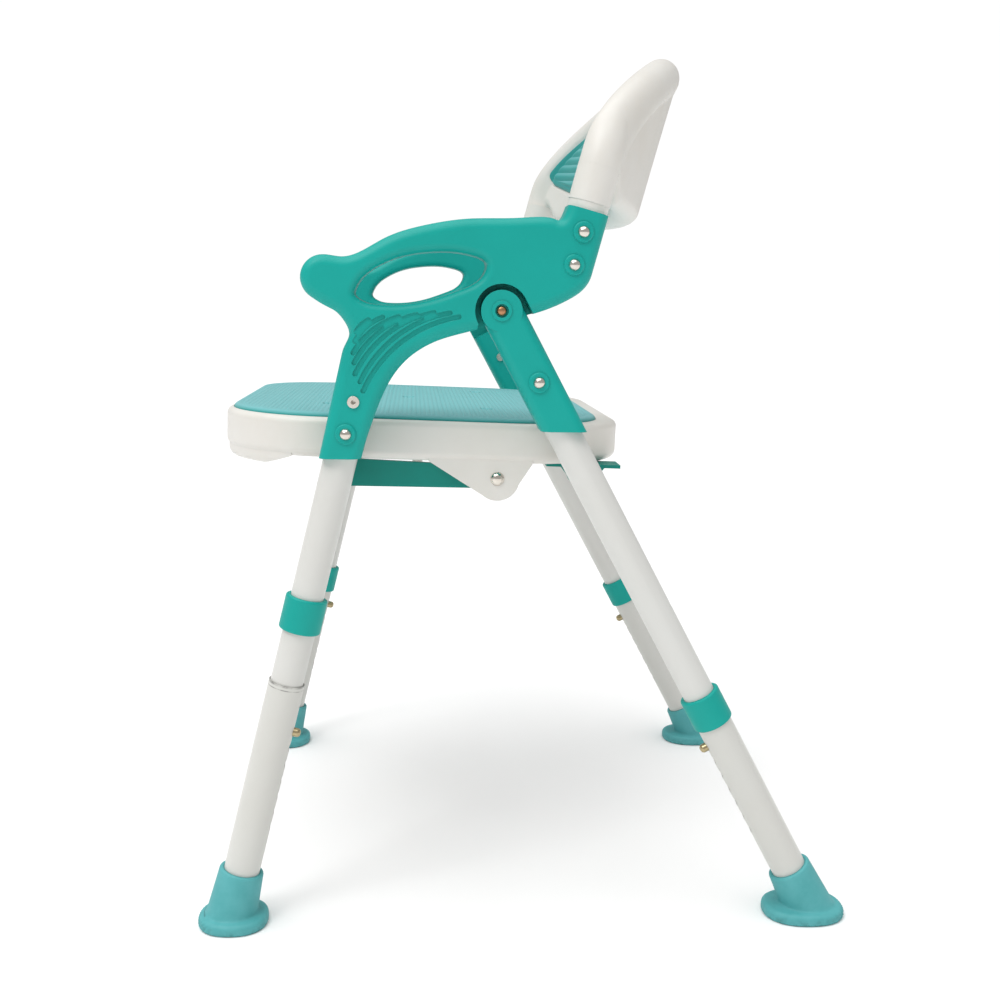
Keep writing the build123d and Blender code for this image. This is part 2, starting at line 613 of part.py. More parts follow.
def backrest_parts():
    """The moulded shell, hollow for the core tubes, and the ribbed pad let into its front."""
    radius, outer, inner = bow_radii()
    centre = BOW_DEPTH - radius
    width = LEG_SPACING + UPRIGHT_OD
    plate = arch_view(width, SHELL_BOTTOM, SHELL_SHOULDER, SHELL_TOP, SHELL_LOW_CORNER)
    shell = plate & round_wall(outer, inner, centre)
    sleeve_top = RING_HEIGHT + SLEEVE_HEIGHT
    for side in (-1, 1):
        upright = disc(UPRIGHT_OD / 2, sleeve_top, UPRIGHT_TOP)
        shell = shell + Pos(0, side * PLANE_Y, 0) * upright
        room = Pos(0, side * (PLANE_Y + UPRIGHT_OD / 2 - SLEEVE_ROOM), -SHELL_BOTTOM) * Box(
            LEG_SPACING, 2 * UPRIGHT_OD, sleeve_top + SHELL_BOTTOM, align=BASE)
        shell = shell - room
        core = disc(CORE_TUBE_OD / 2 + FIT_GAP, 0, CORE_TUBE_ABOVE + 1)
        shell = shell - Pos(0, side * PLANE_Y, 0) * core
    face = inner + BACK_PAD_THICKNESS
    pocket = arch_view(PAD_WIDTH + 2 * PAD_GAP, PAD_BOTTOM - PAD_GAP, PAD_SHOULDER, PAD_TOP + PAD_GAP,
                       PAD_LOW_CORNER)
    shell = shell - (pocket & round_wall(face + PAD_GAP, inner - SHELL_THICKNESS, centre))
    pad = arch_view(PAD_WIDTH, PAD_BOTTOM, PAD_SHOULDER, PAD_TOP, PAD_LOW_CORNER)
    pad = pad & round_wall(face, inner - BACK_PAD_PROUD, centre)
    return BACK_MIDDLE * shell, BACK_MIDDLE * pad


# ---------------------------------------------------------------- seat
EAR_FACE = SEAT_WIDTH / 2 - EAR_INSET
TILT = Pos(EAR_X, 0, EAR_Z) * Rot(0, SEAT_TILT, 0) * Pos(-EAR_X, 0, -EAR_Z)


def seat_plan(inset, low, high, rear_inset=None):
    """Rounded seat plate between two heights, before the seat is tilted."""
    rear = SEAT_REAR - (inset if rear_inset is None else rear_inset)
    front = SEAT_FRONT + inset
    plan = RectangleRounded(rear - front, SEAT_WIDTH - 2 * inset, SEAT_CORNER - inset)
    return Pos((rear + front) / 2, 0, low) * extrude(plan, high - low)


def ear(side):
    """Cheek under the seat's edge that carries the fold link's pin."""
    top = SEAT_BOTTOM + EAR_ROOT
    run, fall = EAR_RADIUS * math.sin(math.radians(40)), EAR_RADIUS * math.cos(math.radians(40))
    front, rear = EAR_X - EAR_REACH, EAR_X + EAR_REACH / 2
    outline = [
        Polyline((front, top), (front, SEAT_BOTTOM), (EAR_X - run, EAR_Z - fall),
                 (EAR_X + run, EAR_Z - fall), (rear, SEAT_BOTTOM), (rear, top), close=True)
    ]
    outer = EAR_FACE
    low, high = sorted((side * (outer - EAR_THICKNESS), side * outer))
    cheek = side_plate(outline, low, high)
    return cheek + side_rod((EAR_X, EAR_Z), EAR_RADIUS, side, outer - EAR_THICKNESS, outer)


LINK_INNER = EAR_FACE - EAR_THICKNESS - LINK_OPEN_GAP - LINK_BAR_THICKNESS


def seat_shell():
    """Moulded tray: deck, skirt, a rolled lip at the front and an ear on each side."""
    skirt = seat_plan(0, SEAT_BOTTOM, SEAT_TOP)
    skirt = fillet(skirt.edges().group_by(Axis.Z)[-1], RIM_TOP_EDGE)
    skirt = fillet(skirt.edges().group_by(Axis.Z)[0], RIM_LOW_EDGE)
    lip = seat_plan(LIP_INSET, SEAT_BOTTOM - LIP_DEPTH, DECK_TOP - DECK_THICKNESS)
    lip_rear, low = SEAT_FRONT + LIP_LENGTH, SEAT_BOTTOM - LIP_DEPTH
    slope = [Polyline((SEAT_FRONT, low - 1), (lip_rear, low - 1), (lip_rear, low),
                      (lip_rear + LIP_SLOPE, SEAT_BOTTOM), (lip_rear + LIP_SLOPE, SEAT_TOP),
                      (SEAT_FRONT, SEAT_TOP), close=True)]
    lip = lip & side_plate(slope, -SEAT_WIDTH, SEAT_WIDTH)
    lip = fillet(lip.edges().group_by(Axis.Z)[0], RIM_LOW_EDGE)
    pocket = seat_plan(SEAT_PAD_INSET - PAD_GAP, DECK_TOP, SEAT_TOP + 1, SEAT_PAD_REAR_INSET - PAD_GAP)
    below = SEAT_BOTTOM - LIP_DEPTH - 1
    inside = seat_plan(SKIRT, below, DECK_TOP - DECK_THICKNESS)
    inside = inside - Pos(SEAT_FRONT, 0, 0) * Box(2 * (LIP_LENGTH + LIP_SLOPE), SEAT_WIDTH, 2 * SEAT_TOP)
    inside = inside + seat_plan(LIP_WALL, below, DECK_TOP - DECK_THICKNESS)
    body = (skirt - pocket + lip) - inside
    for side in (-1, 1):
        body = body + ear(side)
        body = body - side_rod((EAR_X, EAR_Z), PIVOT_BOLT / 2 + FIT_GAP, side, LINK_INNER, SEAT_WIDTH / 2)
    return body


def drained(body):
    """The same body with the drainage holes cut through it."""
    middle = (SEAT_REAR + SEAT_FRONT) / 2
    for x, y in DRAINS:
        body = body - Pos(middle + x, y, 0) * disc(DRAIN_RADIUS, SEAT_BOTTOM, SEAT_PAD_TOP + 1)
    return body


def seat_pad():
    """Foam pad let into the shell's deck, with a rounded top edge."""
    pad = seat_plan(SEAT_PAD_INSET, DECK_TOP, SEAT_PAD_TOP, SEAT_PAD_REAR_INSET)
    return fillet(pad.edges().group_by(Axis.Z)[-1], SEAT_PAD_EDGE)


# ---------------------------------------------------------------- hinges under the seat
BARREL_RADIUS = CROSSBAR_OD / 2 + HINGE_GAP + BARREL_WALL
BRACKET_Y = SEAT_WIDTH / 2 - BRACKET_INSET
LINK_TIE = ((FRONT_BAR[0] + EAR_X) / 2, (FRONT_BAR[1] + EAR_Z) / 2)


def seat_hinge(side):
    """Bracket under the seat that turns on the rear cross tube."""
    x, z = REAR_BAR
    width = BRACKET_WIDTH
    low = side * BRACKET_Y - width / 2
    length = 2 * BRACKET_HALF
    plate = Pos(x, side * BRACKET_Y, SEAT_BOTTOM - BRACKET_PLATE) * Box(
        length, width, BRACKET_PLATE, align=BASE)
    seat_room = Pos(x, side * BRACKET_Y, SEAT_BOTTOM) * Box(2 * length, 2 * width, length, align=BASE)
    foot_x, tip_x = 0.7 * BRACKET_HALF, 0.6 * BARREL_RADIUS
    top, tip = SEAT_BOTTOM, z - 0.7 * BARREL_RADIUS
    cheek = [Polyline((x - foot_x, top), (x - tip_x, tip), (x + tip_x, tip), (x + foot_x, top), close=True)]
    body = TILT * plate + side_plate(cheek, low, low + width)
    body = body + cross_rod((x, z), BARREL_RADIUS, low, low + width)
    body = body - TILT * seat_room
    return body - cross_rod((x, z), CROSSBAR_OD / 2 + HINGE_GAP, low - 1, low + width + 1)


def fold_link(side):
    """Flat bar from the front cross tube to the seat's ear."""
    face = LINK_INNER
    low, high = sorted((side * face, side * (face + LINK_BAR_THICKNESS)))
    half = LINK_BAR_HEIGHT / 2
    end_half = half - LINK_TAPER
    front, rear = FRONT_BAR, (EAR_X, EAR_Z)
    outline = [Polyline((front[0], front[1] + half), (rear[0], rear[1] + end_half),
                        (rear[0], rear[1] - end_half), (front[0], front[1] - half), close=True)]
    body = side_plate(outline, low, high)
    body = body + cross_rod(front, LINK_EYE_RADIUS, low, high)
    body = body + cross_rod(rear, LINK_END_RADIUS, low, high)
    body = body - cross_rod(front, CROSSBAR_OD / 2 + HINGE_GAP, low - 1, high + 1)
    return body - side_rod(LINK_TIE, TIE_OD / 2 + FIT_GAP, side, face - 1, face + TIE_SEAT)


# ---------------------------------------------------------------- fasteners
def rivet(point, side, face, depth):
    """Dome-headed rivet: head outside, shank inwards, small closing head."""
    shank = side_rod(point, RIVET_SHANK / 2, side, face - depth, face + BOSS_HEIGHT)
    head = dome(point, side, face + BOSS_HEIGHT, RIVET_HEAD / 2, RIVET_DOME)
    tail = side_rod(point, RIVET_TAIL / 2, side, face - depth - RIVET_TAIL_HEIGHT, face - depth)
    return shank + head + tail


def boss(point, side, face):
    """Ring washer under a rivet's head."""
    ring = side_rod(point, BOSS_OD / 2, side, face, face + BOSS_HEIGHT)
    rims = ring.edges().filter_by(GeomType.CIRCLE).sort_by(Axis.Y)
    ring = chamfer(rims[-1 if side > 0 else 0], BOSS_CHAMFER)
    return ring - side_rod(point, RIVET_SHANK / 2 + FIT_GAP, side, face - 1, face + BOSS_HEIGHT + 1)


def hollow_rivet(point, side, face, depth):
    """Semi-tubular rivet with a rolled rim."""
    body = side_rod(point, RIVET_SHANK / 2, side, face - depth, face + HOLLOW_RIM)
    body = body + side_rod(point, RIVET_HEAD / 2, side, face, face + HOLLOW_RIM)
    return body - side_rod(point, HOLLOW_BORE / 2, side, face - HOLLOW_DEPTH, face + HOLLOW_RIM + 1)


def pivot_bolt(side):
    """Fold pivot: bolt with a low head let into the link's head, threaded into its nut."""
    outer = PLANE_Y + LINK_THICKNESS / 2
    inner = PLANE_Y - ARM_THICKNESS / 2
    end = outer - PIVOT_WELL_DEPTH / 3
    shank = side_rod(PIVOT, PIVOT_BOLT / 2, side, inner - PIVOT_THREAD, end)
    return shank + dome(PIVOT, side, end, PIVOT_BOLT / 2, PIVOT_BOLT_DOME)


def pivot_nut(side):
    """Capped nut on the inner side of the armrest."""
    inner = PLANE_Y - ARM_THICKNESS / 2
    hexagon = extrude(RegularPolygon(NUT_RADIUS, 6), NUT_HEIGHT)
    place = Location((PIVOT[0], side * (inner - NUT_HEIGHT), PIVOT[1]), (-90 * side, 0, 0))
    body = place * hexagon
    return body - side_rod(PIVOT, PIVOT_BOLT / 2 + FIT_GAP, side, inner - PIVOT_THREAD, inner + 1)


def ear_pin(side):
    """Headed pin in the seat's ear, at the opened pivot of the fold loop."""
    point, radius = (EAR_X, EAR_Z), EAR_PIN_HEAD / 2
    face = EAR_FACE + 0.5
    body = side_rod(point, PIVOT_BOLT / 2, side, EAR_FACE - EAR_THICKNESS, face)
    body = body + side_rod(point, radius, side, EAR_FACE, face)
    return body + dome(point, side, face, radius, EAR_PIN_DOME)


# ---------------------------------------------------------------- build and write the nodes
for word, s in SIDES.items():
    save("armrest_" + word, armrest(s))
    save("rear_link_" + word, rear_link(s))
    save("fold_link_" + word, fold_link(s))
    for end in ("front", "rear"):
        corner = end + "_" + word
        raised = COLLAR_RAISED if corner == "front_left" else 0.0
        save("upper_tube_" + corner, upper_tube(end, s))
        save("lower_tube_" + corner, lower_tube(end, s))
        save("foot_" + corner, foot(end, s))
        save("foot_washer_" + corner, foot_washer(end, s))
        save("collar_" + corner, collar(end, s, raised))
        save("lock_button_" + corner, lock_button(end, s))

for end in ("front", "rear"):
    save("lock_springs_" + end, *[spring_leaf(end, s) for s in SIDES.values()])

BAR_END = PLANE_Y - UPPER_TUBE_OD / 2 + UPPER_TUBE_WALL + 3      # just inside the leg tubes
for name, point in (("front_crossbar", FRONT_BAR), ("rear_crossbar", REAR_BAR)):
    solid = cross_rod(point, CROSSBAR_OD / 2, -BAR_END, BAR_END)
    save(name, solid - cross_rod(point, CROSSBAR_OD / 2 - CROSSBAR_WALL, -BAR_END - 1, BAR_END + 1))

shell, back_pad = backrest_parts()
save("backrest_shell", shell)
save("backrest_pad", back_pad)
core = tube(CORE_TUBE_OD, CORE_TUBE_WALL, -CORE_TUBE_BELOW, CORE_TUBE_ABOVE)
for drop in BACK_RIVET_DROPS:
    core = core - Pos(0, 0, -drop) * Rot(90, 0, 0) * Cylinder(RIVET_SHANK / 2 + FIT_GAP, ARM_THICKNESS)
save("backrest_core_tubes", *[back_frame(s) * core for s in SIDES.values()])
ring = tube(RING_OD, (RING_OD - CORE_TUBE_OD) / 2 - FIT_GAP, 0, RING_HEIGHT)
save("upright_rings", *[back_frame(s) * ring for s in SIDES.values()])
sleeve = tube(UPRIGHT_OD, (UPRIGHT_OD - CORE_TUBE_OD) / 2 - FIT_GAP, RING_HEIGHT, RING_HEIGHT + SLEEVE_HEIGHT)
save("upright_sleeves", *[back_frame(s) * sleeve for s in SIDES.values()])

save("seat_shell", TILT * drained(seat_shell()))
save("seat_pad", TILT * drained(seat_pad()))
save("seat_hinges", *[seat_hinge(s) for s in SIDES.values()])
save("ear_pins", *[ear_pin(s) for s in SIDES.values()])
TIE_END = LINK_INNER + TIE_SEAT
save("link_tie", cross_rod(LINK_TIE, TIE_OD / 2, -TIE_END, TIE_END))

ARM_FACE = PLANE_Y + ARM_THICKNESS / 2
LINK_FACE = PLANE_Y + LINK_THICKNESS / 2
save("back_rivets", *[rivet(p, s, ARM_FACE, ARM_THICKNESS) for p in BACK_RIVETS for s in SIDES.values()])
save("front_rivets", *[rivet(FRONT_RIVET, s, ARM_FACE, ARM_THICKNESS) for s in SIDES.values()])
save("link_rivets", *[rivet(LINK_RIVET, s, LINK_FACE, LINK_THICKNESS) for s in SIDES.values()])
save("hollow_rivets", *[hollow_rivet(HOLLOW_RIVET, s, ARM_FACE, ARM_THICKNESS) for s in SIDES.values()])
save("arm_bosses", *[boss(p, s, ARM_FACE) for p in (FRONT_RIVET, *BACK_RIVETS) for s in SIDES.values()])
save("link_bosses", *[boss(LINK_RIVET, s, LINK_FACE) for s in SIDES.values()])
save("pivot_bolts", *[pivot_bolt(s) for s in SIDES.values()])
save("pivot_nuts", *[pivot_nut(s) for s in SIDES.values()])
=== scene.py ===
"""A folding shower chair with arms, a dished backrest and four telescopic legs.

Every length is in millimetres, and is turned to metres where a mesh is made. The sitter faces -X, -Y is the
sitter's left, +Z is up and the floor is at Z = 0.
"""

import logging
import math
from dataclasses import dataclass, replace
from enum import Enum

import bmesh
import bpy
import numpy as np
from mathutils import Matrix, Vector


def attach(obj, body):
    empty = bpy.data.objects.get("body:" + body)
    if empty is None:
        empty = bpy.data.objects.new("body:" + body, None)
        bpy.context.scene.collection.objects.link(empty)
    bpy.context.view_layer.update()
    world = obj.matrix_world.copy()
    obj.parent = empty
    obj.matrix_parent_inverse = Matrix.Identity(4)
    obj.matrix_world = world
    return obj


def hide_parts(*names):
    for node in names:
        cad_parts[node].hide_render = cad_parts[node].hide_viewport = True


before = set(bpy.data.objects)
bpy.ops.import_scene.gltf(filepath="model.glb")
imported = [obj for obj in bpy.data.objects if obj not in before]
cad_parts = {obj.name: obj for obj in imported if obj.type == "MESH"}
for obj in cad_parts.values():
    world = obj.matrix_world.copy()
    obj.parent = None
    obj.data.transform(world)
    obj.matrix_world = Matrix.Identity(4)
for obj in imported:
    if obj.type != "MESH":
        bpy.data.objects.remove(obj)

LOG = logging.getLogger("shower_chair")
MM = 0.001
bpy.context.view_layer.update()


# ---------------------------------------------------------------- names of the choices
class Body(Enum):
    """Bodies of the frame that new pieces ride on."""

    FRONT = "front_frame"
    SEAT = "seat"


class Side(Enum):
    """Side of the sitter, and the sign of Y there."""

    LEFT = -1
    RIGHT = 1


class End(Enum):
    """Front or rear pair of legs."""

    FRONT = "front"
    REAR = "rear"


class Slot(Enum):
    """Material slots of the record."""

    TEAL_PLASTIC = "teal_plastic"
    CREAM_PLASTIC = "cream_plastic"
    TEAL_FOAM = "teal_foam"
    # The record's dark_teal slot is the bar under the seat; its darker teal is painted shade.
    DARK_TEAL = "dark_teal"
    COATED_TUBE = "coated_tube"
    TEAL_RUBBER = "teal_rubber"
    BRIGHT_STEEL = "bright_steel"
    PLATED_STEEL = "plated_steel"
    BARE_ALUMINIUM = "bare_aluminium"


# ---------------------------------------------------------------- colour and nodes
def linear(hex_colour: str) -> tuple[float, float, float, float]:
    """Turn an sRGB hex value to linear red, green, blue and alpha.

    Args:
        hex_colour: six hex digits, with or without a leading #.

    Returns:
        The four linear values that a colour socket takes.
    """
    digits = hex_colour.lstrip("#")
    srgb = np.array([int(digits[i : i + 2], 16) for i in (0, 2, 4)]) / 255
    toe = srgb / 12.92
    curve = ((srgb + 0.055) / 1.055) ** 2.4
    red, green, blue = np.where(srgb <= 0.04045, toe, curve)
    return (float(red), float(green), float(blue), 1.0)


def add_node(
    tree: bpy.types.NodeTree, kind: str, settings: dict | None = None, **links: object
) -> bpy.types.Node:
    """Add one node with its settings and links.

    Args:
        tree: the node tree that takes it.
        kind: the node's type name, without "ShaderNode".
        settings: attributes of the node, and input numbers under their index or name.
        links: input names, spaces as underscores and indices as i0, i1, and the output sockets or values
            for them.

    Returns:
        The new node.
    """
    node = tree.nodes.new("ShaderNode" + kind)
    for name, value in (settings or {}).items():
        if isinstance(name, int):
            node.inputs[name].default_value = value
        elif hasattr(node, name):
            setattr(node, name, value)
        else:
            node.inputs[name].default_value = value
    for name, value in links.items():
        is_index = name[0] == "i" and name[1:].isdigit()
        socket = node.inputs[int(name[1:]) if is_index else name.replace("_", " ")]
        if isinstance(value, bpy.types.NodeSocket):
            tree.links.new(value, socket)
        else:
            socket.default_value = value
    return node


# Settings of a Mix node that blends colours. Input 0 is the share of input 7 in input 6, and output 2 the
# blended colour.
BLEND_COLOURS = {"data_type": "RGBA"}


# ---------------------------------------------------------------- finishes
@dataclass(frozen=True)
class Finish:
    """A real material and how its surface was made.

    Attributes:
        name: the material's name in the file.
        base: main colour, sRGB.
        shade: colour in its darker patches, sRGB.
        worn: colour of rubbed edges and scuffs, sRGB.
        roughness: mean roughness of the surface.
        ior: index of refraction, left alone on a metal.
        metallic: 1 for a metal.
        specular: strength of the surface's mirror-like reflection, 0.5 for a plain one.
        coat: strength of a clear outer layer.
        sheen: soft glow of fibres or bloom.
        patch_mm: size of the slow colour patches.
        grain_mm: size of the surface grain.
        grain_depth_mm: how deep the grain looks.
        wear: 0 for new edges, 1 for badly rubbed ones.
        edge_mm: how far rounding and wear reach from an edge.
        translucent_mm: how far light travels inside, 0 for none.
        patch_share: how strongly the patches show.
        brushed: turned or brushed lines on a metal.
    """

    name: str
    base: str
    shade: str
    worn: str
    roughness: float
    ior: float = 1.49
    metallic: float = 0.0
    specular: float = 0.5
    coat: float = 0.0
    sheen: float = 0.0
    patch_mm: float = 60.0
    grain_mm: float = 1.4
    grain_depth_mm: float = 0.05
    wear: float = 0.3
    edge_mm: float = 0.8
    translucent_mm: float = 0.0
    patch_share: float = 0.5
    brushed: bool = False

    def make(self) -> bpy.types.Material:
        """Build the node tree.

        The colour is the base blended with the shade by slow noise, then with the worn colour where the
        bevelled normal leaves the true one, which is at edges. The bump is fine noise of the grain's size.

        Returns:
            The finished material.
        """
        material = bpy.data.materials.new(self.name)
        material.use_nodes = True
        tree = material.node_tree
        tree.nodes.clear()
        place = add_node(tree, "TexCoord").outputs["Object"]
        colour = self.colour(tree, place)
        normal = self.relief(tree, place)
        # Handled patches, about 14 mm across, are a little smoother or rougher than the mean.
        patches = add_node(
            tree, "TexNoise", {"Scale": 1 / (14 * MM), "Detail": 4.0}, Vector=place
        ).outputs["Fac"]
        rough_low, rough_high = self.roughness - 0.05, self.roughness + 0.08
        rough = add_node(tree, "MapRange", {3: rough_low, 4: rough_high}, Value=patches).outputs["Result"]
        shader = add_node(
            tree,
            "BsdfPrincipled",
            {
                "Metallic": self.metallic,
                "Specular IOR Level": self.specular,
                "Coat Weight": self.coat,
                "Coat Roughness": 0.12,
                "Sheen Weight": self.sheen,
                "Sheen Roughness": 0.5,
            },
            Base_Color=colour,
            Roughness=rough,
            Normal=normal,
        )
        if not self.metallic:
            shader.inputs["IOR"].default_value = self.ior
        if self.translucent_mm:
            shader.inputs["Subsurface Weight"].default_value = 0.08
            shader.inputs["Subsurface Radius"].default_value = (1.0, 0.85, 0.7)
            shader.inputs["Subsurface Scale"].default_value = self.translucent_mm * MM
        output = add_node(tree, "OutputMaterial")
        tree.links.new(shader.outputs["BSDF"], output.inputs["Surface"])
        return material

    def edges(self, tree: bpy.types.NodeTree) -> bpy.types.NodeSocket:
        """Mask of the sharp edges: how far the bevelled normal leaves the true one.

        Args:
            tree: the material's node tree.

        Returns:
            The mask's socket, 1 at an edge and 0 on a plain face.
        """
        bevel = add_node(tree, "Bevel", {"samples": 6, "Radius": self.edge_mm * MM}).outputs["Normal"]
        true = add_node(tree, "NewGeometry").outputs["Normal"]
        dot = add_node(tree, "VectorMath", {"operation": "DOT_PRODUCT"}, i0=bevel, i1=true).outputs["Value"]
        return add_node(tree, "MapRange", {1: 0.98, 2: 0.80, 3: 0.0, 4: 1.0}, Value=dot).outputs["Result"]

    def colour(self, tree: bpy.types.NodeTree, place: bpy.types.NodeSocket) -> bpy.types.NodeSocket:
        """Base colour with slow patches and rubbed edges.

        Args:
            tree: the material's node tree.
            place: the socket of the object's own coordinates.

        Returns:
            The colour's socket.
        """
        slow = add_node(
            tree, "TexNoise", {"Scale": 1 / (self.patch_mm * MM), "Detail": 5.0, "Roughness": 0.6},
            Vector=place,
        ).outputs["Fac"]
        share = add_node(
            tree, "MapRange", {1: 0.35, 2: 0.75, 3: 0.0, 4: self.patch_share}, Value=slow
        ).outputs["Result"]
        colour = add_node(
            tree, "Mix", BLEND_COLOURS, i0=share, i6=linear(self.base), i7=linear(self.shade)
        ).outputs[2]
        if not self.wear:
            return colour
        breakup = add_node(
            tree, "TexNoise", {"Scale": 1 / (5 * MM), "Detail": 3.0}, Vector=place
        ).outputs["Fac"]
        chance = add_node(
            tree, "MapRange", {1: 0.35, 2: 0.7, 3: 0.0, 4: self.wear}, Value=breakup
        ).outputs["Result"]
        rubbed = add_node(
            tree, "Math", {"operation": "MULTIPLY", "use_clamp": True}, i0=self.edges(tree), i1=chance
        ).outputs["Value"]
        return add_node(tree, "Mix", BLEND_COLOURS, i0=rubbed, i6=colour, i7=linear(self.worn)).outputs[2]

    def relief(self, tree: bpy.types.NodeTree, place: bpy.types.NodeSocket) -> bpy.types.NodeSocket:
        """Normal with softened edges and the surface's own grain, or fine lines along a drawn tube.

        Args:
            tree: the material's node tree.
            place: the socket of the object's own coordinates.

        Returns:
            The normal's socket.
        """
        soft = add_node(tree, "Bevel", {"samples": 6, "Radius": 0.5 * self.edge_mm * MM}).outputs["Normal"]
        if self.brushed:
            turned = add_node(tree, "Mapping", {"Scale": (1.0, 14.0, 1.0)}, Vector=place).outputs["Vector"]
            height = add_node(
                tree, "TexNoise", {"Scale": 1 / (2.5 * MM), "Detail": 2.0}, Vector=turned
            ).outputs["Fac"]
        else:
            height = add_node(
                tree, "TexNoise", {"Scale": 1 / (self.grain_mm * MM), "Detail": 2.0, "Roughness": 0.55},
                Vector=place,
            ).outputs["Fac"]
        bump = add_node(
            tree, "Bump", {"Strength": 0.6, "Distance": self.grain_depth_mm * MM}, Height=height, Normal=soft
        )
        return bump.outputs["Normal"]


@dataclass(frozen=True)
class ScuffedTube(Finish):
    """Coated tube with dark rings rubbed round the mouth, where the collar has been screwed up and down.

    Attributes:
        axis: direction of the leg.
        foot: point of the leg's axis on the floor, in mm.
        mouth_mm: distance of the mouth from the floor along the leg.
        amount: 0 for a clean mouth, 1 for a badly marked one.
        rings_mm: distance of each ring below the mouth, and half its width.
    """

    axis: tuple[float, float, float] = (0.0, 0.0, 1.0)
    foot: tuple[float, float, float] = (0.0, 0.0, 0.0)
    mouth_mm: float = 232.0
    amount: float = 0.75
    rings_mm: tuple[tuple[float, float], ...] = ((0.5, 1.5), (4.0, 0.7))

    def colour(self, tree: bpy.types.NodeTree, place: bpy.types.NodeSocket) -> bpy.types.NodeSocket:
        """Coating colour, with narrow broken rings just under the mouth.

        The distance along the leg is the dot product of the place with the leg's axis.

        Args:
            tree: the material's node tree.
            place: the socket of the object's own coordinates.

        Returns:
            The colour's socket.
        """
        colour = Finish.colour(self, tree, place)
        start = float(np.dot(self.foot, self.axis)) * MM
        along = add_node(
            tree, "VectorMath", {"operation": "DOT_PRODUCT", 1: self.axis}, i0=place
        ).outputs["Value"]
        below = add_node(
            tree, "Math", {"operation": "SUBTRACT", 0: self.mouth_mm * MM + start}, i1=along
        ).outputs["Value"]
        wobble = add_node(
            tree, "TexNoise", {"Scale": 1 / (9 * MM), "Detail": 4.0}, Vector=place
        ).outputs["Fac"]
        broken = add_node(
            tree, "MapRange", {1: 0.36, 2: 0.6, 3: 0.0, 4: self.amount}, Value=wobble
        ).outputs["Result"]
        for centre, width in self.rings_mm:
            off = add_node(
                tree, "Math", {"operation": "SUBTRACT", 1: centre * MM}, i0=below
            ).outputs["Value"]
            off = add_node(tree, "Math", {"operation": "ABSOLUTE"}, i0=off).outputs["Value"]
            ring = add_node(
                tree, "MapRange", {1: 0.0, 2: width * MM, 3: 1.0, 4: 0.0}, Value=off
            ).outputs["Result"]
            dark = add_node(
                tree, "Math", {"operation": "MULTIPLY", "use_clamp": True}, i0=ring, i1=broken
            ).outputs["Value"]
            colour = add_node(tree, "Mix", BLEND_COLOURS, i0=dark, i6=colour, i7=linear(self.worn)).outputs[2]
        return colour


@dataclass(frozen=True)
class TopLitFoam(Finish):
    """Moulded foam whose upward faces are painted paler than its sides, as painted light from above.

    Attributes:
        painted_top_light: colour painted on the upward faces as light from above and a grazing sheen, sRGB.
    """

    painted_top_light: str = "#6FB3B7"

    def colour(self, tree: bpy.types.NodeTree, place: bpy.types.NodeSocket) -> bpy.types.NodeSocket:
        """Foam colour, turned to the painted top light as the face turns upwards.

        Args:
            tree: the material's node tree.
            place: the socket of the object's own coordinates.

        Returns:
            The colour's socket.
        """
        colour = Finish.colour(self, tree, place)
        # Painted light: faces turned upwards are blended to a paler colour, as light from above shows them.
        normal = add_node(tree, "NewGeometry").outputs["Normal"]
        upward = add_node(tree, "SeparateXYZ", i0=normal).outputs["Z"]
        share = add_node(tree, "MapRange", {1: 0.25, 2: 0.9, 3: 0.0, 4: 0.9}, Value=upward).outputs["Result"]
        return add_node(tree, "Mix", BLEND_COLOURS, i0=share, i6=colour, i7=linear(self.painted_top_light)).outputs[2]


@dataclass(frozen=True)
class GroundRubber(Finish):
    """Moulded rubber that is darker where it stands on the floor.

    Attributes:
        low_colour: the darker colour near the floor, sRGB.
        low_height_mm: how far up the darker blotches reach.
    """

    low_colour: str = "#2F6C6B"
    low_height_mm: float = 9.0

    def colour(self, tree: bpy.types.NodeTree, place: bpy.types.NodeSocket) -> bpy.types.NodeSocket:
        """Rubber colour, darker near the floor and with broken darker blotches higher up.

        Args:
            tree: the material's node tree.
            place: the socket of the object's own coordinates.

        Returns:
            The colour's socket.
        """
        colour = Finish.colour(self, tree, place)
        height = add_node(tree, "SeparateXYZ", i0=place).outputs["Z"]
        low = add_node(
            tree, "MapRange", {1: 0.0, 2: self.low_height_mm * MM, 3: 1.0, 4: 0.0}, Value=height
        ).outputs["Result"]
        blotch = add_node(
            tree, "TexNoise", {"Scale": 1 / (7 * MM), "Detail": 6.0, "Roughness": 0.7}, Vector=place
        ).outputs["Fac"]
        blotch = add_node(tree, "MapRange", {1: 0.46, 2: 0.72, 3: 0.0, 4: 1.0}, Value=blotch).outputs["Result"]
        blotches = add_node(tree, "Math", {"operation": "MULTIPLY"}, i0=low, i1=blotch).outputs["Value"]
        # A thin band just above the floor is made darkest of all.
        floor_ring = add_node(
            tree, "MapRange", {1: 0.0, 2: 1.6 * MM, 3: 0.55, 4: 0.0}, Value=height
        ).outputs["Result"]
        share = add_node(
            tree, "Math", {"operation": "MAXIMUM", "use_clamp": True}, i0=blotches, i1=floor_ring
        ).outputs["Value"]
        return add_node(tree, "Mix", BLEND_COLOURS, i0=share, i6=colour, i7=linear(self.low_colour)).outputs[2]


# Polypropylene, injection moulded with a spark-eroded grain: satin, and paler where hands rub the edges.
MOULDED_POLYPROPYLENE = Finish(
    "teal_polypropylene_moulded_satin", "#00A096", "#009187", "#62C2BE", 0.45, specular=0.3, grain_mm=1.2,
    grain_depth_mm=0.045, patch_mm=90, wear=0.12, edge_mm=1.0,
)
# Polyethylene, blow moulded: waxy, faintly see-through, slightly yellowed in the patches.
BLOWN_POLYETHYLENE = Finish(
    "cream_polyethylene_blow_moulded", "#DCDAD5", "#CFCAC0", "#ECEBE8", 0.40, grain_mm=2.2,
    grain_depth_mm=0.03, patch_mm=130, wear=0.25, translucent_mm=1.5, patch_share=0.7,
)
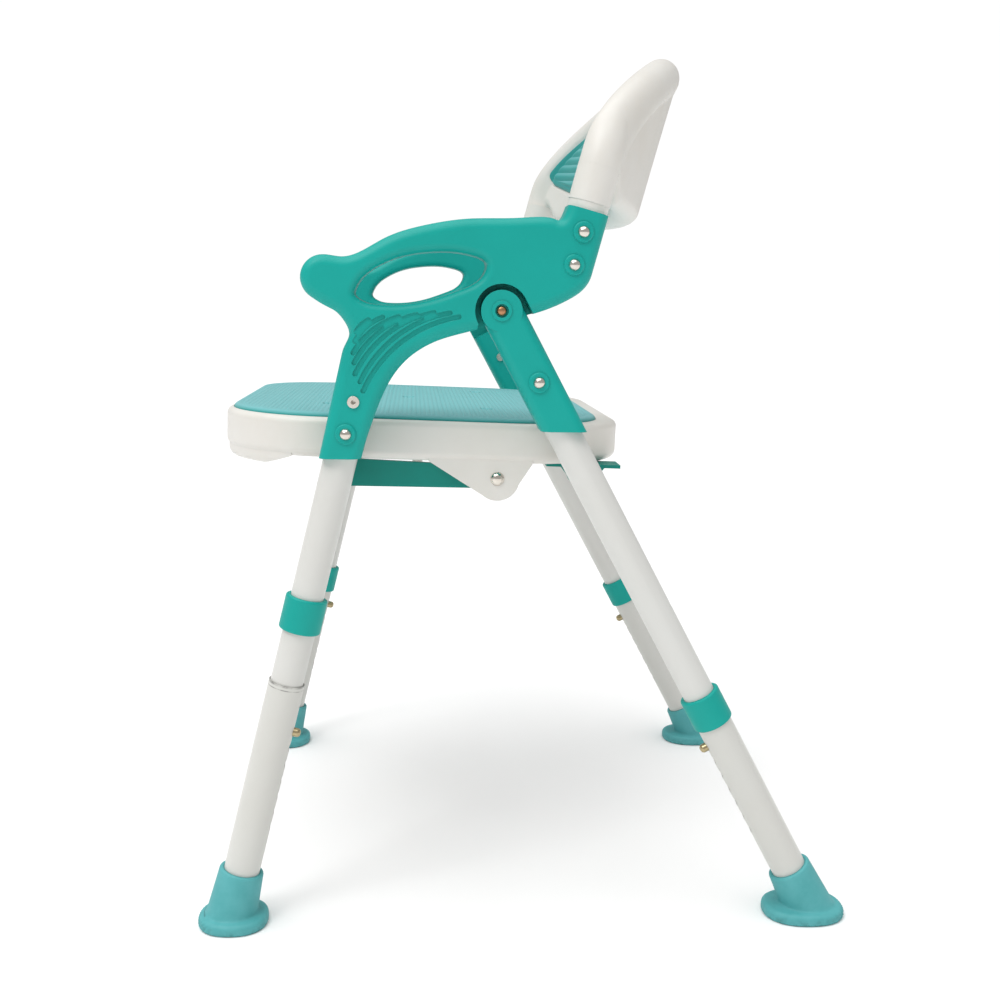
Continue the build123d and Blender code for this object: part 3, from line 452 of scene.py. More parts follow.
# EVA foam, closed cell, moulded: matt with a soft bloom. Its upward faces, the ribs' tops among them, are
# painted paler as light from above.
MOULDED_FOAM = TopLitFoam(
    "teal_eva_foam_moulded", "#0F918D", "#0B8582", "#78BEC0", 0.62, ior=1.45, sheen=0.15, grain_mm=1.0,
    grain_depth_mm=0.05, patch_mm=70, wear=0.8, edge_mm=0.7,
)
# Polypropylene in a darker teal: painted shade for the bar out of the light under the seat.
SHADED_POLYPROPYLENE = Finish(
    "dark_teal_polypropylene_moulded", "#008478", "#007065", "#3FA39B", 0.46, specular=0.3, wear=0.2,
)
# Aluminium tube with a baked polyester powder coat: smooth with a faint orange peel.
POWDER_COAT = Finish(
    "white_powder_coated_tube", "#D4D4D0", "#C9C7C1", "#5E5C58", 0.32, ior=1.5, coat=0.1, grain_mm=3.0,
    grain_depth_mm=0.02, patch_mm=150, wear=0.0, patch_share=0.5,
)
# The same coat on a lower tube, its colour a little darker as painted shade low on the legs, with near-black
# rings at its mouth.
SHADED_SCUFFED_POWDER_COAT = ScuffedTube(
    "white_powder_coated_tube_scuffed", "#D0D0CB", "#C5C3BC", "#3A3734", 0.32, ior=1.5, coat=0.1,
    grain_mm=3.0, grain_depth_mm=0.02, patch_mm=150, wear=0.0,
)
# Thermoplastic rubber, moulded: dull, and darker where it meets the floor.
GROUND_RUBBER = GroundRubber(
    "teal_rubber_moulded_foot", "#54A8AB", "#3F999B", "#86C8CA", 0.60, ior=1.52, grain_mm=1.6,
    grain_depth_mm=0.08, patch_mm=22, wear=0.4, patch_share=0.8,
)
# Nickel-plated steel, polished: small bright domes that mirror the room.
POLISHED_NICKEL = Finish(
    "nickel_plated_steel_polished", "#D9D3CA", "#C7BDB0", "#FFFFFF", 0.16, metallic=1.0, grain_mm=2.0,
    grain_depth_mm=0.004, patch_mm=9, wear=0.0,
)
# Zinc-plated steel with a yellow passivate: warm and duller than the nickel.
YELLOW_ZINC = Finish(
    "yellow_zinc_plated_steel", "#B5A683", "#988A66", "#E2DBC6", 0.30, metallic=1.0, grain_mm=1.5,
    grain_depth_mm=0.01, patch_mm=6, wear=0.3,
)
# Aluminium, drawn and left bare: fine lines along the tube.
DRAWN_ALUMINIUM = Finish(
    "aluminium_drawn_bare", "#C9CBCC", "#B4B6B8", "#ECECEC", 0.34, metallic=1.0, grain_depth_mm=0.01,
    patch_mm=20, wear=0.0, brushed=True,
)
# Steel with a copper-toned passivate, as on the fold pivots' bolts.
COPPER_TONED_STEEL = Finish(
    "steel_copper_toned_bolt", "#B98A66", "#9A6C4C", "#E6C9AE", 0.28, metallic=1.0, grain_depth_mm=0.006,
    patch_mm=4, wear=0.3,
)
FINISHES: dict[Slot, Finish] = {
    Slot.TEAL_PLASTIC: MOULDED_POLYPROPYLENE,
    Slot.CREAM_PLASTIC: BLOWN_POLYETHYLENE,
    Slot.TEAL_FOAM: MOULDED_FOAM,
    Slot.DARK_TEAL: SHADED_POLYPROPYLENE,
    Slot.COATED_TUBE: POWDER_COAT,
    Slot.TEAL_RUBBER: GROUND_RUBBER,
    Slot.BRIGHT_STEEL: POLISHED_NICKEL,
    Slot.PLATED_STEEL: YELLOW_ZINC,
    Slot.BARE_ALUMINIUM: DRAWN_ALUMINIUM,
}


class Paints:
    """The materials, each made once."""

    def __init__(self) -> None:
        """Make one material for each slot of the record."""
        self.by_slot = {slot: finish.make() for slot, finish in FINISHES.items()}

    def node(self, name: str) -> None:
        """Give a CAD node the material of its own slot."""
        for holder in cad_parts[name].material_slots:
            holder.material = self.by_slot[Slot(holder.material.name)]


# ---------------------------------------------------------------- shapes from grids
def quads(rows: int, columns: int, offset: int, flip: bool, wrap: bool = False) -> np.ndarray:
    """Quad faces over a grid of points.

    Args:
        rows: points along the first parameter.
        columns: points along the second parameter.
        offset: number of the grid's first point.
        flip: turn the faces to the other side.
        wrap: close the grid along the second parameter.

    Returns:
        An array of four point numbers for each face.
    """
    row = np.arange(rows - 1)[:, None]
    column = np.arange(columns if wrap else columns - 1)[None, :]
    following = (column + 1) % columns
    here, above = row * columns, (row + 1) * columns
    corners = [here + column, here + following, above + following, above + column]
    faces = np.stack([np.broadcast_to(c, corners[0].shape) for c in corners], axis=-1).reshape(-1, 4) + offset
    return faces[:, ::-1] if flip else faces


def new_mesh(name: str, points: np.ndarray, faces: np.ndarray, merge_mm: float = 0.002) -> bpy.types.Object:
    """Make a smooth closed object from points in millimetres.

    Args:
        name: the object's name.
        points: an array of places, three numbers each.
        faces: an array of point numbers, four each.
        merge_mm: points nearer than this become one.

    Returns:
        The object, linked to the scene, with its normals pointing outwards.
    """
    mesh = bpy.data.meshes.new(name)
    mesh.from_pydata((points.reshape(-1, 3) * MM).tolist(), [], faces.tolist())
    work = bmesh.new()
    work.from_mesh(mesh)
    bmesh.ops.remove_doubles(work, verts=work.verts, dist=merge_mm * MM)
    bmesh.ops.dissolve_degenerate(work, edges=work.edges, dist=merge_mm * MM)
    bmesh.ops.recalc_face_normals(work, faces=work.faces)
    work.to_mesh(mesh)
    work.free()
    mesh.polygons.foreach_set("use_smooth", np.ones(len(mesh.polygons), dtype=bool))
    piece = bpy.data.objects.new(name, mesh)
    bpy.context.scene.collection.objects.link(piece)
    return piece


def closed_pair(name: str, first: np.ndarray, second: np.ndarray) -> bpy.types.Object:
    """Close two sheets of the same grid into one body.

    The sheets are joined along their borders by one strip of quads, whose points merge where the sheets meet.

    Args:
        name: the object's name.
        first: grid of places, rows by columns by three.
        second: the facing grid.

    Returns:
        The closed object.
    """
    rows, columns, _ = first.shape
    count = rows * columns
    top = np.arange(columns)
    right = np.arange(1, rows) * columns + columns - 1
    bottom = (rows - 1) * columns + np.arange(columns - 2, -1, -1)
    left = np.arange(rows - 2, 0, -1) * columns
    ring = np.concatenate([top, right, bottom, left])
    following = np.roll(ring, -1)
    strip = np.stack([ring, ring + count, following + count, following], axis=-1)
    faces = np.concatenate([quads(rows, columns, 0, True), quads(rows, columns, count, False), strip])
    return new_mesh(name, np.concatenate([first.reshape(-1, 3), second.reshape(-1, 3)]), faces)


def lofted(name: str, rings: np.ndarray) -> bpy.types.Object:
    """Close a stack of rings into one body, its first and last ring being closed to their middle points.

    Args:
        name: the object's name.
        rings: rings by points by three.

    Returns:
        The closed object.
    """
    rows, columns, _ = rings.shape
    ends = [np.repeat(rings[i].mean(axis=0)[None, None], columns, axis=1) for i in (0, -1)]
    stack = np.concatenate([ends[0], rings, ends[1]])
    return new_mesh(name, stack, quads(rows + 2, columns, 0, False, wrap=True))


def smooth_step(value: np.ndarray, low: float, high: float) -> np.ndarray:
    """Rise from 0 at low to 1 at high, level at both ends."""
    share = np.clip((value - low) / (high - low), 0, 1)
    return share * share * (3 - 2 * share)


def rounded_box_depth(
    x: np.ndarray, y: np.ndarray, half_x: float, half_y: float, corner: float
) -> np.ndarray:
    """Distance inwards from the outline of a rectangle with round corners.

    Outside the straight parts it is the corner radius less the distance from the corner's centre.

    Args:
        x: places along the first side.
        y: places along the second side.
        half_x: half the first side.
        half_y: half the second side.
        corner: radius of the corners.

    Returns:
        The depth at each place, 0 on the outline.
    """
    over_x, over_y = np.abs(x) - (half_x - corner), np.abs(y) - (half_y - corner)
    outside = np.hypot(np.maximum(over_x, 0), np.maximum(over_y, 0))
    inside = np.minimum(np.maximum(over_x, over_y), 0)
    return corner - outside - inside


def edge_spaced(count: int) -> np.ndarray:
    """Numbers from -1 to 1 that lie closer together near both ends."""
    return np.sin(np.linspace(-math.pi / 2, math.pi / 2, count))


# ---------------------------------------------------------------- the legs' own axes
@dataclass(frozen=True)
class LegLine:
    """The axis of one leg, from the floor upwards.

    Attributes:
        end: front or rear pair.
        side: left or right.
        spacing: between the planes of the left and right legs.
        stance: front of the front feet to back of the rear feet.
        lean_front: lean of the front legs towards +X, in degrees.
        lean_rear: lean of the rear legs.
        flange_front: length of a front foot's flange.
        flange_rear: length of a rear foot's flange.
        aim: height at which the axis is over the flange's middle.
        mouth_front: open end of a front lower tube, along the leg from the floor.
        mouth_rear: open end of a rear lower tube.
    """

    end: End
    side: Side
    spacing: float = 476.0
    stance: float = 594.0
    lean_front: float = 13.4
    lean_rear: float = -28.7
    flange_front: float = 62.0
    flange_rear: float = 75.0
    aim: float = 18.0
    mouth_front: float = 232.0
    mouth_rear: float = 238.0

    @property
    def lean(self) -> float:
        """Lean towards +X, in radians."""
        return math.radians(self.lean_front if self.end is End.FRONT else self.lean_rear)

    @property
    def mouth(self) -> float:
        """Open end of the lower tube, along the leg from the floor."""
        return self.mouth_front if self.end is End.FRONT else self.mouth_rear

    @property
    def flange(self) -> float:
        """Length of the foot's flange."""
        return self.flange_front if self.end is End.FRONT else self.flange_rear

    @property
    def foot_x(self) -> float:
        """Middle of the foot's flange."""
        inwards = self.stance / 2 - self.flange / 2
        return -inwards if self.end is End.FRONT else inwards

    @property
    def floor(self) -> tuple[float, float, float]:
        """Point of the axis on the floor."""
        return (self.foot_x - self.aim * math.tan(self.lean), self.side.value * self.spacing / 2, 0.0)

    @property
    def axis(self) -> tuple[float, float, float]:
        """Direction up along the leg."""
        return (math.sin(self.lean), 0.0, math.cos(self.lean))

    @property
    def facing(self) -> int:
        """Sign of the direction from the foot's toe to its heel: toes point away from the chair's middle."""
        return 1 if self.end is End.FRONT else -1

    @property
    def name(self) -> str:
        """Corner's name, such as front_left."""
        return f"{self.end.value}_{self.side.name.lower()}"


# ---------------------------------------------------------------- backrest
@dataclass
class Backrest:
    """Blow-moulded backrest with tubular edges, and the ribbed foam pad let into its front.

    Attributes:
        paints: the materials.
        base: side-view point of the uprights at the armrests' sockets.
        lean_deg: lean of the uprights from vertical.
        half_span: from the middle plane to the uprights' axes.
        tube: radius of the uprights and of the rolled edge.
        shoulder: height where the arch starts.
        rise: height of the arch above its shoulder.
        power: power of the arch's superellipse.
        bottom: bottom edge between the uprights.
        seat: lower end of the uprights, on their sleeves.
        bow: how far the middle lies behind the uprights.
        sweep: how far the arch's haunches turn back.
        sweep_start: height above the base where they start to.
        sweep_height: height over which they turn back by that much.
        wall: half the thickness of the panel beside the uprights.
        pad_half: half the width of the pad's own arch.
        pad_rise: height of the pad's arch above the shoulder.
        pad_low: lower edge of the pad in the middle.
        pad_lift: how much higher that edge is at pad_end.
        pad_end: from the middle plane to the pad's ends.
        pad_corner: radius of its lower corners.
        pad_sunk: how deep the pad's seat lies in the panel.
        pad_proud: how far the pad's crown stands before its seat.
        pad_edge: radius of the pad's front edge.
        ribs: number of ribs across the pad.
        rib_height: height of one rib.
    """

    paints: Paints
    base: tuple[float, float] = (38.52, 636.69)
    lean_deg: float = 14.7
    half_span: float = 238.0
    tube: float = 18.0
    shoulder: float = 38.75
    rise: float = 142.95
    power: float = 1.915
    bottom: float = 17.0
    seat: float = 38.0
    bow: float = 57.2
    sweep: float = 12.4
    sweep_start: float = 60.0
    sweep_height: float = 110.0
    wall: float = 9.0
    pad_half: float = 229.0
    pad_rise: float = 112.0
    pad_low: float = 44.0
    pad_lift: float = 18.0
    pad_end: float = 199.0
    pad_corner: float = 14.0
    pad_sunk: float = 3.0
    pad_proud: float = 5.0
    pad_edge: float = 5.0
    ribs: int = 10
    rib_height: float = 1.6

    def bowed(self, y: np.ndarray, u: np.ndarray) -> np.ndarray:
        """Middle surface, as places rearwards: a bow across, with haunches that turn back near the top.

        Args:
            y: places across.
            u: places up.

        Returns:
            How far the middle surface lies behind the uprights' axes.
        """
        share = np.clip(np.abs(y) / self.half_span, 0, 1)
        high = np.maximum(u - self.sweep_start, 0) / self.sweep_height
        return self.bow * (1 - share**2) ** 1.03 + self.sweep * high**2 * share**2

    def top_edge(self, y: np.ndarray) -> np.ndarray:
        """Top of the outline, a superellipse above the shoulder."""
        width = self.half_span + self.tube
        share = np.clip(np.abs(y) / width, 0, 1)
        return self.shoulder + self.rise * (1 - share**self.power) ** (1 / self.power)

    def bottom_edge(self, y: np.ndarray) -> np.ndarray:
        """Bottom of the outline: level, then up to the sleeves in an S."""
        rise = smooth_step(np.abs(y), self.half_span - 3.4 * self.tube, self.half_span - self.tube)
        return self.bottom + (self.seat - self.bottom) * rise

    def arch_depth(self, y: np.ndarray, u: np.ndarray, half: float, rise: float) -> np.ndarray:
        """Distance inwards from an arch: what is left of its superellipse, over the slope there.

        Args:
            y: places across.
            u: places up.
            half: half the arch's width.
            rise: its height above the shoulder.

        Returns:
            The distance, 0 on the arch and straight across below the shoulder.
        """
        y, v = np.abs(y), u - self.shoulder
        above = np.maximum(v, 1e-6)
        total = np.maximum((y / half) ** self.power + (above / rise) ** self.power, 1e-4)
        level = total ** (1 / self.power)
        slope_y = (y / half) ** (self.power - 1) / half
        slope_v = (above / rise) ** (self.power - 1) / rise
        slope = np.hypot(slope_y, slope_v) * total ** (1 / self.power - 1)
        return np.where(v > 0, (1 - level) / np.maximum(slope, 1e-5), half - y)

    def depth(self, y: np.ndarray, u: np.ndarray) -> np.ndarray:
        """Distance inwards from the arched outline."""
        return np.clip(self.arch_depth(y, u, self.half_span + self.tube, self.rise), 0, None)

    def half_thickness(self, y: np.ndarray, u: np.ndarray) -> np.ndarray:
        """Half the thickness: a round tube along the arch, run softly into a panel with a rolled lower edge.

        The larger of tube and panel is taken, and a soft maximum fills the valley where they meet.

        Args:
            y: places across.
            u: places up.

        Returns:
            Half the thickness at each place, 0 on the outline.
        """
        depth = self.depth(y, u)
        rim = np.sqrt(np.clip(self.tube**2 - (self.tube - depth) ** 2, 0, None))
        middle = 1 - smooth_step(np.abs(y), 0.2 * self.half_span, 0.85 * self.half_span)
        panel = self.wall + (self.tube - 1 - self.wall) * middle
        above = np.clip((u - self.bottom_edge(y)) / 13, 0, 1)
        panel = panel * np.sqrt(np.clip(1 - (1 - above) ** 2, 0, 1)) * smooth_step(depth, 6, self.tube)
        blend = 4.0 * smooth_step(depth, 10, self.tube) * smooth_step(above, 0.0, 1.0)
        near = np.maximum(blend - np.abs(rim - panel), 0)
        return np.maximum(rim, panel) + near**2 / np.maximum(4 * blend, 1e-3)

    def place(self, y: np.ndarray, u: np.ndarray, n: np.ndarray) -> np.ndarray:
        """Turn places beside the leaning backrest to X, Y and Z.

        Args:
            y: places across.
            u: places up.
            n: places rearwards.

        Returns:
            The places, three numbers each.
        """
        lean = math.radians(self.lean_deg)
        x = self.base[0] + u * math.sin(lean) + n * math.cos(lean)
        z = self.base[1] + u * math.cos(lean) - n * math.sin(lean)
        return np.stack([x, y, z], axis=-1)

    def grid(self) -> tuple[np.ndarray, np.ndarray]:
        """Grid over the outline, closer together near its edges.

        Returns:
            The places across, and the places up.
        """
        width = self.half_span + self.tube
        across = width * edge_spaced(341)
        share = (edge_spaced(121) + 1) / 2
        y = np.repeat(across[:, None], len(share), axis=1)
        low, high = self.bottom_edge(across), self.top_edge(across)
        u = low[:, None] + (high - low)[:, None] * share[None, :]
        return y, u

    def shell(self) -> bpy.types.Object:
        """The moulded panel with its tubular edge, from two facing sheets."""
        y, u = self.grid()
        half, middle = self.half_thickness(y, u), self.bowed(y, u)
        pad = smooth_step(self.pad_depth(y, u), -1.5, 1.0)
        front = middle - half + self.pad_sunk * pad
        return closed_pair("backrest_panel", self.place(y, u, front), self.place(y, u, middle + half))

    def pad_depth(self, y: np.ndarray, u: np.ndarray) -> np.ndarray:
        """Distance inwards from the pad's outline: its own arch, over a lower edge that lifts at its ends.

        Args:
            y: places across.
            u: places up.

        Returns:
            The distance, 0 on the outline.
        """
        arch = self.arch_depth(y, u, self.pad_half, self.pad_rise)
        low = u - self.pad_low - self.pad_lift * (np.abs(y) / self.pad_end) ** 2.2
        corner = self.pad_corner
        both = (arch < corner) & (low < corner)
        rounded = corner - np.hypot(corner - arch, corner - low)
        return np.where(both, rounded, np.minimum(arch, low))

    def pad_heights(self, y: np.ndarray) -> tuple[np.ndarray, np.ndarray]:
        """Lowest and highest point of the pad, found on a fine scale.

        Args:
            y: places across.

        Returns:
            The lowest and the highest point at each place.
        """
        scale = np.linspace(self.pad_low, self.shoulder + self.pad_rise, 4001)
        u = np.repeat(scale[None, :], len(y), axis=0)
        inside = self.pad_depth(np.repeat(y[:, None], len(scale), axis=1), u) > 0
        return np.where(inside, u, 1e9).min(axis=1), np.where(inside, u, -1e9).max(axis=1)

    def pad(self) -> bpy.types.Object:
        """The foam pad: a crowned sheet with rounded edges and level ribs, closed by a plain back.

        Returns:
            The pad.
        """
        scale = np.linspace(0, self.half_span, 9521)
        widest = np.full_like(scale, 72.0)
        reach = scale[self.pad_depth(scale, widest) > 0].max() - 0.1
        across = reach * edge_spaced(201)
        low, high = self.pad_heights(across)
        share = (edge_spaced(261) + 1) / 2
        y = np.repeat(across[:, None], len(share), axis=1)
        u = low[:, None] + (high - low)[:, None] * share[None, :]
        depth = np.clip(self.pad_depth(y, u), 0, None)
        rounding = np.sqrt(np.clip(1 - (1 - np.clip(depth / self.pad_edge, 0, 1)) ** 2, 0, 1))
        pitch = (self.shoulder + self.pad_rise - self.pad_low - 12) / self.ribs
        wave = np.abs(np.sin(math.pi * (u - self.pad_low - 6) / pitch)) ** 0.8
        ribs = self.rib_height * wave * smooth_step(depth, 5, 9)
        face = self.bowed(y, u) - self.half_thickness(y, u) + self.pad_sunk
        front, back = face - self.pad_proud * rounding - ribs, face + 1.5
        return closed_pair("backrest_foam_pad", self.place(y, u, front), self.place(y, u, back))

    def build(self) -> list[bpy.types.Object]:
        """Build and dress both pieces.

        Returns:
            The new objects.
        """
        shell, pad = self.shell(), self.pad()
        for piece, slot, node in (
            (shell, Slot.CREAM_PLASTIC, "backrest_shell"),
            (pad, Slot.TEAL_FOAM, "backrest_pad"),
        ):
            piece.data.materials.append(self.paints.by_slot[slot])
            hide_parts(node)
            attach(piece, Body.FRONT.value)
        return [shell, pad]


# ---------------------------------------------------------------- seat
@dataclass
class Seat:
    """Foam seat pad, with fine ribs from side to side, in the moulded tray.

    Attributes:
        paints: the materials.
        front: front edge of the tray.
        rear: rear edge of the tray.
        width: width of the tray.
        corner: radius of the tray's corners.
        inset: from the tray's edge to the pad, in front and at the sides.
        rear_inset: from the tray's edge to the pad, at the rear.
        ear: side-view point of the ears' pins, about which the seat is tilted.
        tilt_deg: how far the front edge is turned up.
        deck: height of the deck that the pad lies on.
        top: height of the pad's crown at its edge.
        crown: extra height in the middle.
        edge: radius of the pad's upper edge.
        rib_pitch: from rib to rib.
        rib_height: height of one rib.
        drains: drainage holes from the seat's middle, X and Y.
        drain: radius of a drainage hole.
        drain_depth: depth of the dimple that shows it.
    """

    paints: Paints
    front: float = -283.03
    rear: float = 87.97
    width: float = 414.0
    corner: float = 97.0
    inset: float = 6.0
    rear_inset: float = 20.0
    ear: tuple[float, float] = (-31.03, 403.0)
    tilt_deg: float = 1.4
    deck: float = 446.0
    top: float = 457.0
    crown: float = 1.0
    edge: float = 5.0
    rib_pitch: float = 4.2
    rib_height: float = 0.9
    drains: tuple[tuple[float, float], ...] = ((-90, -110), (-90, 110), (60, -110), (60, 110), (-15, 0))
    drain: float = 5.0
    drain_depth: float = 7.0

    def pad(self) -> bpy.types.Object:
        """The pad: a rounded plate, crowned, with rolled edges and ribs across, over a flat underside.

        The top is the edge's quarter circle in the depth from the outline, plus a low crown, plus ribs that
        are a rounded wave in X and fade out before the edge. Drainage dimples are dips round their centres.

        Returns:
            The pad.
        """
        middle = (self.front + self.inset + self.rear - self.rear_inset) / 2
        half_x, half_y = self.rear - self.rear_inset - middle, self.width / 2 - self.inset
        corner = self.corner - self.inset
        inner = np.linspace(-1, 1, 641) * (half_x - 1.0)
        ends = half_x - np.array([0.0, 0.08, 0.35, 0.65])
        x = np.concatenate([-ends, inner, ends[::-1]])
        over = np.clip(np.abs(x) - (half_x - corner), 0, corner)
        half = half_y - corner + np.sqrt(np.clip(corner**2 - over**2, 0, None))
        columns = 105
        grid_x = np.repeat(x[:, None], columns, axis=1)
        grid_y = half[:, None] * edge_spaced(columns)[None, :]
        depth = np.clip(rounded_box_depth(grid_x, grid_y, half_x, half_y, corner), 0, None)
        share = np.clip(depth / self.edge, 0, 1)
        rolled = self.edge * np.sqrt(np.clip(1 - (1 - share) ** 2, 0, 1))
        crown = self.crown * (1 - (grid_x / half_x) ** 2) * (1 - (grid_y / half_y) ** 2)
        wave = np.abs(np.sin(math.pi * grid_x / self.rib_pitch)) ** 0.7
        ribs = self.rib_height * wave * smooth_step(depth, self.edge + 3, self.edge + 6)
        band = -0.5 * smooth_step(depth, self.edge + 1, self.edge + 3)
        height = self.top - self.edge + rolled + crown + ribs + band
        shift = (self.front + self.rear) / 2 - middle
        for drain_x, drain_y in self.drains:
            away = np.hypot(grid_x - drain_x - shift, grid_y - drain_y)
            height = height - self.drain_depth * (1 - smooth_step(away, self.drain - 1.0, self.drain + 2.0))
        top = self.tilted(grid_x + middle, grid_y, height)
        underside = self.tilted(grid_x + middle, grid_y, np.full_like(height, self.deck))
        return closed_pair("seat_foam_pad", top, underside)

    def tilted(self, x: np.ndarray, y: np.ndarray, z: np.ndarray) -> np.ndarray:
        """Turn places about the ears' pins by the seat's tilt.

        Args:
            x: places along the seat before it is tilted.
            y: places across.
            z: heights.

        Returns:
            The places, three numbers each.
        """
        turn = math.radians(self.tilt_deg)
        along, up = x - self.ear[0], z - self.ear[1]
        return np.stack([
            self.ear[0] + along * math.cos(turn) + up * math.sin(turn), y,
            self.ear[1] - along * math.sin(turn) + up * math.cos(turn),
        ], axis=-1)

    def build(self) -> list[bpy.types.Object]:
        """Build and dress the pad, and return it in a list."""
        pad = self.pad()
        pad.data.materials.append(self.paints.by_slot[Slot.TEAL_FOAM])
        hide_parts("seat_pad")
        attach(pad, Body.SEAT.value)
        return [pad]


# ---------------------------------------------------------------- feet
@dataclass
class Foot:
    """Moulded rubber foot: a thick sleeve that leans with its leg and stands on an oval flange.

    Attributes:
        paints: the materials.
        leg: the leg that stands in it.
        bore: radius of the hole for the tube.
        sleeve: radius of the sleeve's top.
        root: radius of the sleeve where the flare starts.
        height: top of the sleeve along the leg.
        bore_depth: how far down the tube's hole is modelled.
        ledge: height of the flange's top, where the sleeve starts.
        flange_width: width of the flange.
        squareness: power of the flange's superellipse, 2 for an ellipse.
        ridge: height of the toe's ridges, each way.
        ridge_pitch: from ridge to ridge.
        columns: points round the foot.
    """

    paints: Paints
    leg: LegLine
    bore: float = 16.08
    sleeve: float = 19.8
    root: float = 22.5
    height: float = 52.0
    bore_depth: float = 24.0
    ledge: float = 10.5
    flange_width: float = 62.0
    squareness: float = 2.3
    ridge: float = 0.6
    ridge_pitch: float = 3.8
    columns: int = 480

    def rings(self) -> np.ndarray:
        """Rings from the sole up the outside and down the bore.

        The flange's rings are level superellipses, rolled at the top, with fine slanting ridges on the toe.
        The sleeve's rings lie on a cone about the leg's axis. The lowest is level, where the cone meets the
        flange's top, and each following one turns a little more until it is square with the leg.

        Returns:
            Rings by points by three, in millimetres.
        """
        return np.concatenate([self.flange_rings(), self.sleeve_rings()])

    def flange_rings(self) -> np.ndarray:
        """The flange, from the sole over its rolled edge to the ledge round the sleeve.

        Returns:
            Rings by points by three, in millimetres.
        """
        angle = np.linspace(0, 2 * math.pi, self.columns, endpoint=False)
        # Height, and how far the ring lies inside the outline: sole, wall, rolled edge, ledge.
        height, trim = np.array([
            (0.0, 2.2), (0.7, 0.7), (1.8, 0.1), (3.0, 0.0), (4.5, 0.0), (6.0, 0.1), (7.4, 0.4), (8.6, 1.1),
            (9.6, 2.3), (10.2, 3.8), (self.ledge, 5.4),
        ]).T[:, :, None]
        long_half, wide_half = self.leg.flange / 2 - trim, self.flange_width / 2 - trim
        power = self.squareness
        cosine, sine = np.cos(angle), np.sin(angle)
        ahead = np.sign(cosine) * np.abs(cosine) ** (2 / power) * long_half
        sideways = np.sign(sine) * np.abs(sine) ** (2 / power) * wide_half
        toe = smooth_step(-self.leg.facing * ahead, 0.35 * long_half, 0.7 * long_half)
        wall = smooth_step(height, 1.0, 2.5) * (1 - smooth_step(height, 7.5, 9.5))
        ridge = self.ridge * np.sin(2 * math.pi * (sideways + 0.7 * height) / self.ridge_pitch) * toe * wall
        ahead, sideways = ahead * (1 + ridge / long_half), sideways * (1 + ridge / wide_half)
        return np.stack([
            self.leg.foot_x + ahead, self.leg.floor[1] + sideways, np.repeat(height, self.columns, axis=1),
        ], axis=-1)

    def sleeve_rings(self) -> np.ndarray:
        """The sleeve, from its small fillet on the flange's ledge to its rim, and down the bore.

        Returns:
            Rings by points by three, in millimetres.
        """
        angle = np.linspace(0, 2 * math.pi, self.columns, endpoint=False)
        # Share of the way up, how far the ring lies outside the cone, and how square it is with the leg.
        share, over, square = np.array([
            (0.0, 1.6, 0.0), (0.02, 0.7, 0.0), (0.06, 0.2, 0.02), (0.14, 0.0, 0.08), (0.3, 0.0, 0.25),
            (0.5, 0.0, 0.5), (0.7, 0.0, 0.75), (0.88, 0.0, 0.93), (0.96, 0.0, 1.0), (0.985, -0.3, 1.0),
            (1.0, -1.2, 1.0),
        ]).T[:, :, None]
        lean = self.leg.lean
        start = self.ledge / math.cos(lean)
        radius = self.root + (self.sleeve - self.root) * share + over
        across, sideways = radius * np.cos(angle), radius * np.sin(angle)
        along = start + (self.height - start) * share + across * math.tan(lean) * (1 - square)
        rim, low = (np.full_like(along[:1], value) for value in (self.height, self.height - self.bore_depth))
        across = np.concatenate([across, *[self.bore * np.cos(angle)[None]] * 2])
        sideways = np.concatenate([sideways, *[self.bore * np.sin(angle)[None]] * 2])
        along = np.concatenate([along, rim, low])
        floor, axis = self.leg.floor, self.leg.axis
        return np.stack([
            floor[0] + along * axis[0] + across * axis[2], floor[1] + sideways,
            along * axis[2] - across * axis[0],
        ], axis=-1)

    def build(self) -> list[bpy.types.Object]:
        """Build and dress the foot, and return it in a list."""
        name = self.leg.name
        foot = lofted(f"rubber_foot_{name}", self.rings())
        foot.data.materials.append(self.paints.by_slot[Slot.TEAL_RUBBER])
        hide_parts(f"foot_{name}")
        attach(foot, f"leg_{name}")
        return [foot]


# ---------------------------------------------------------------- what the CAD nodes carry
@dataclass
class CarriedNodes:
    """The CAD nodes that keep their shape and get a better material.

    Attributes:
        paints: the materials.
        hidden: nodes that a new piece stands for.
    """

    paints: Paints
    hidden: tuple[str, ...] = ("backrest_shell", "backrest_pad", "seat_pad")

    def build(self) -> list[bpy.types.Object]:
        """Dress every node, and mark the mouths of the lower tubes.

        Returns:
            The dressed objects.
        """
        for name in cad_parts:
            self.paints.node(name)
        for end in End:
            for side in Side:
                leg = LegLine(end, side)
                # The lower tubes' slightly darker coat is painted shade; the rings at the mouth are scuffs.
                tube = replace(
                    SHADED_SCUFFED_POWDER_COAT, name=f"white_powder_coated_tube_{leg.name}", axis=leg.axis,
                    foot=leg.floor, mouth_mm=leg.mouth,
                )
                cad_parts[f"lower_tube_{leg.name}"].material_slots[0].material = tube.make()
        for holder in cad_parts["pivot_bolts"].material_slots:
            holder.material = COPPER_TONED_STEEL.make()
        return [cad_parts[name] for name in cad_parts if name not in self.hidden]


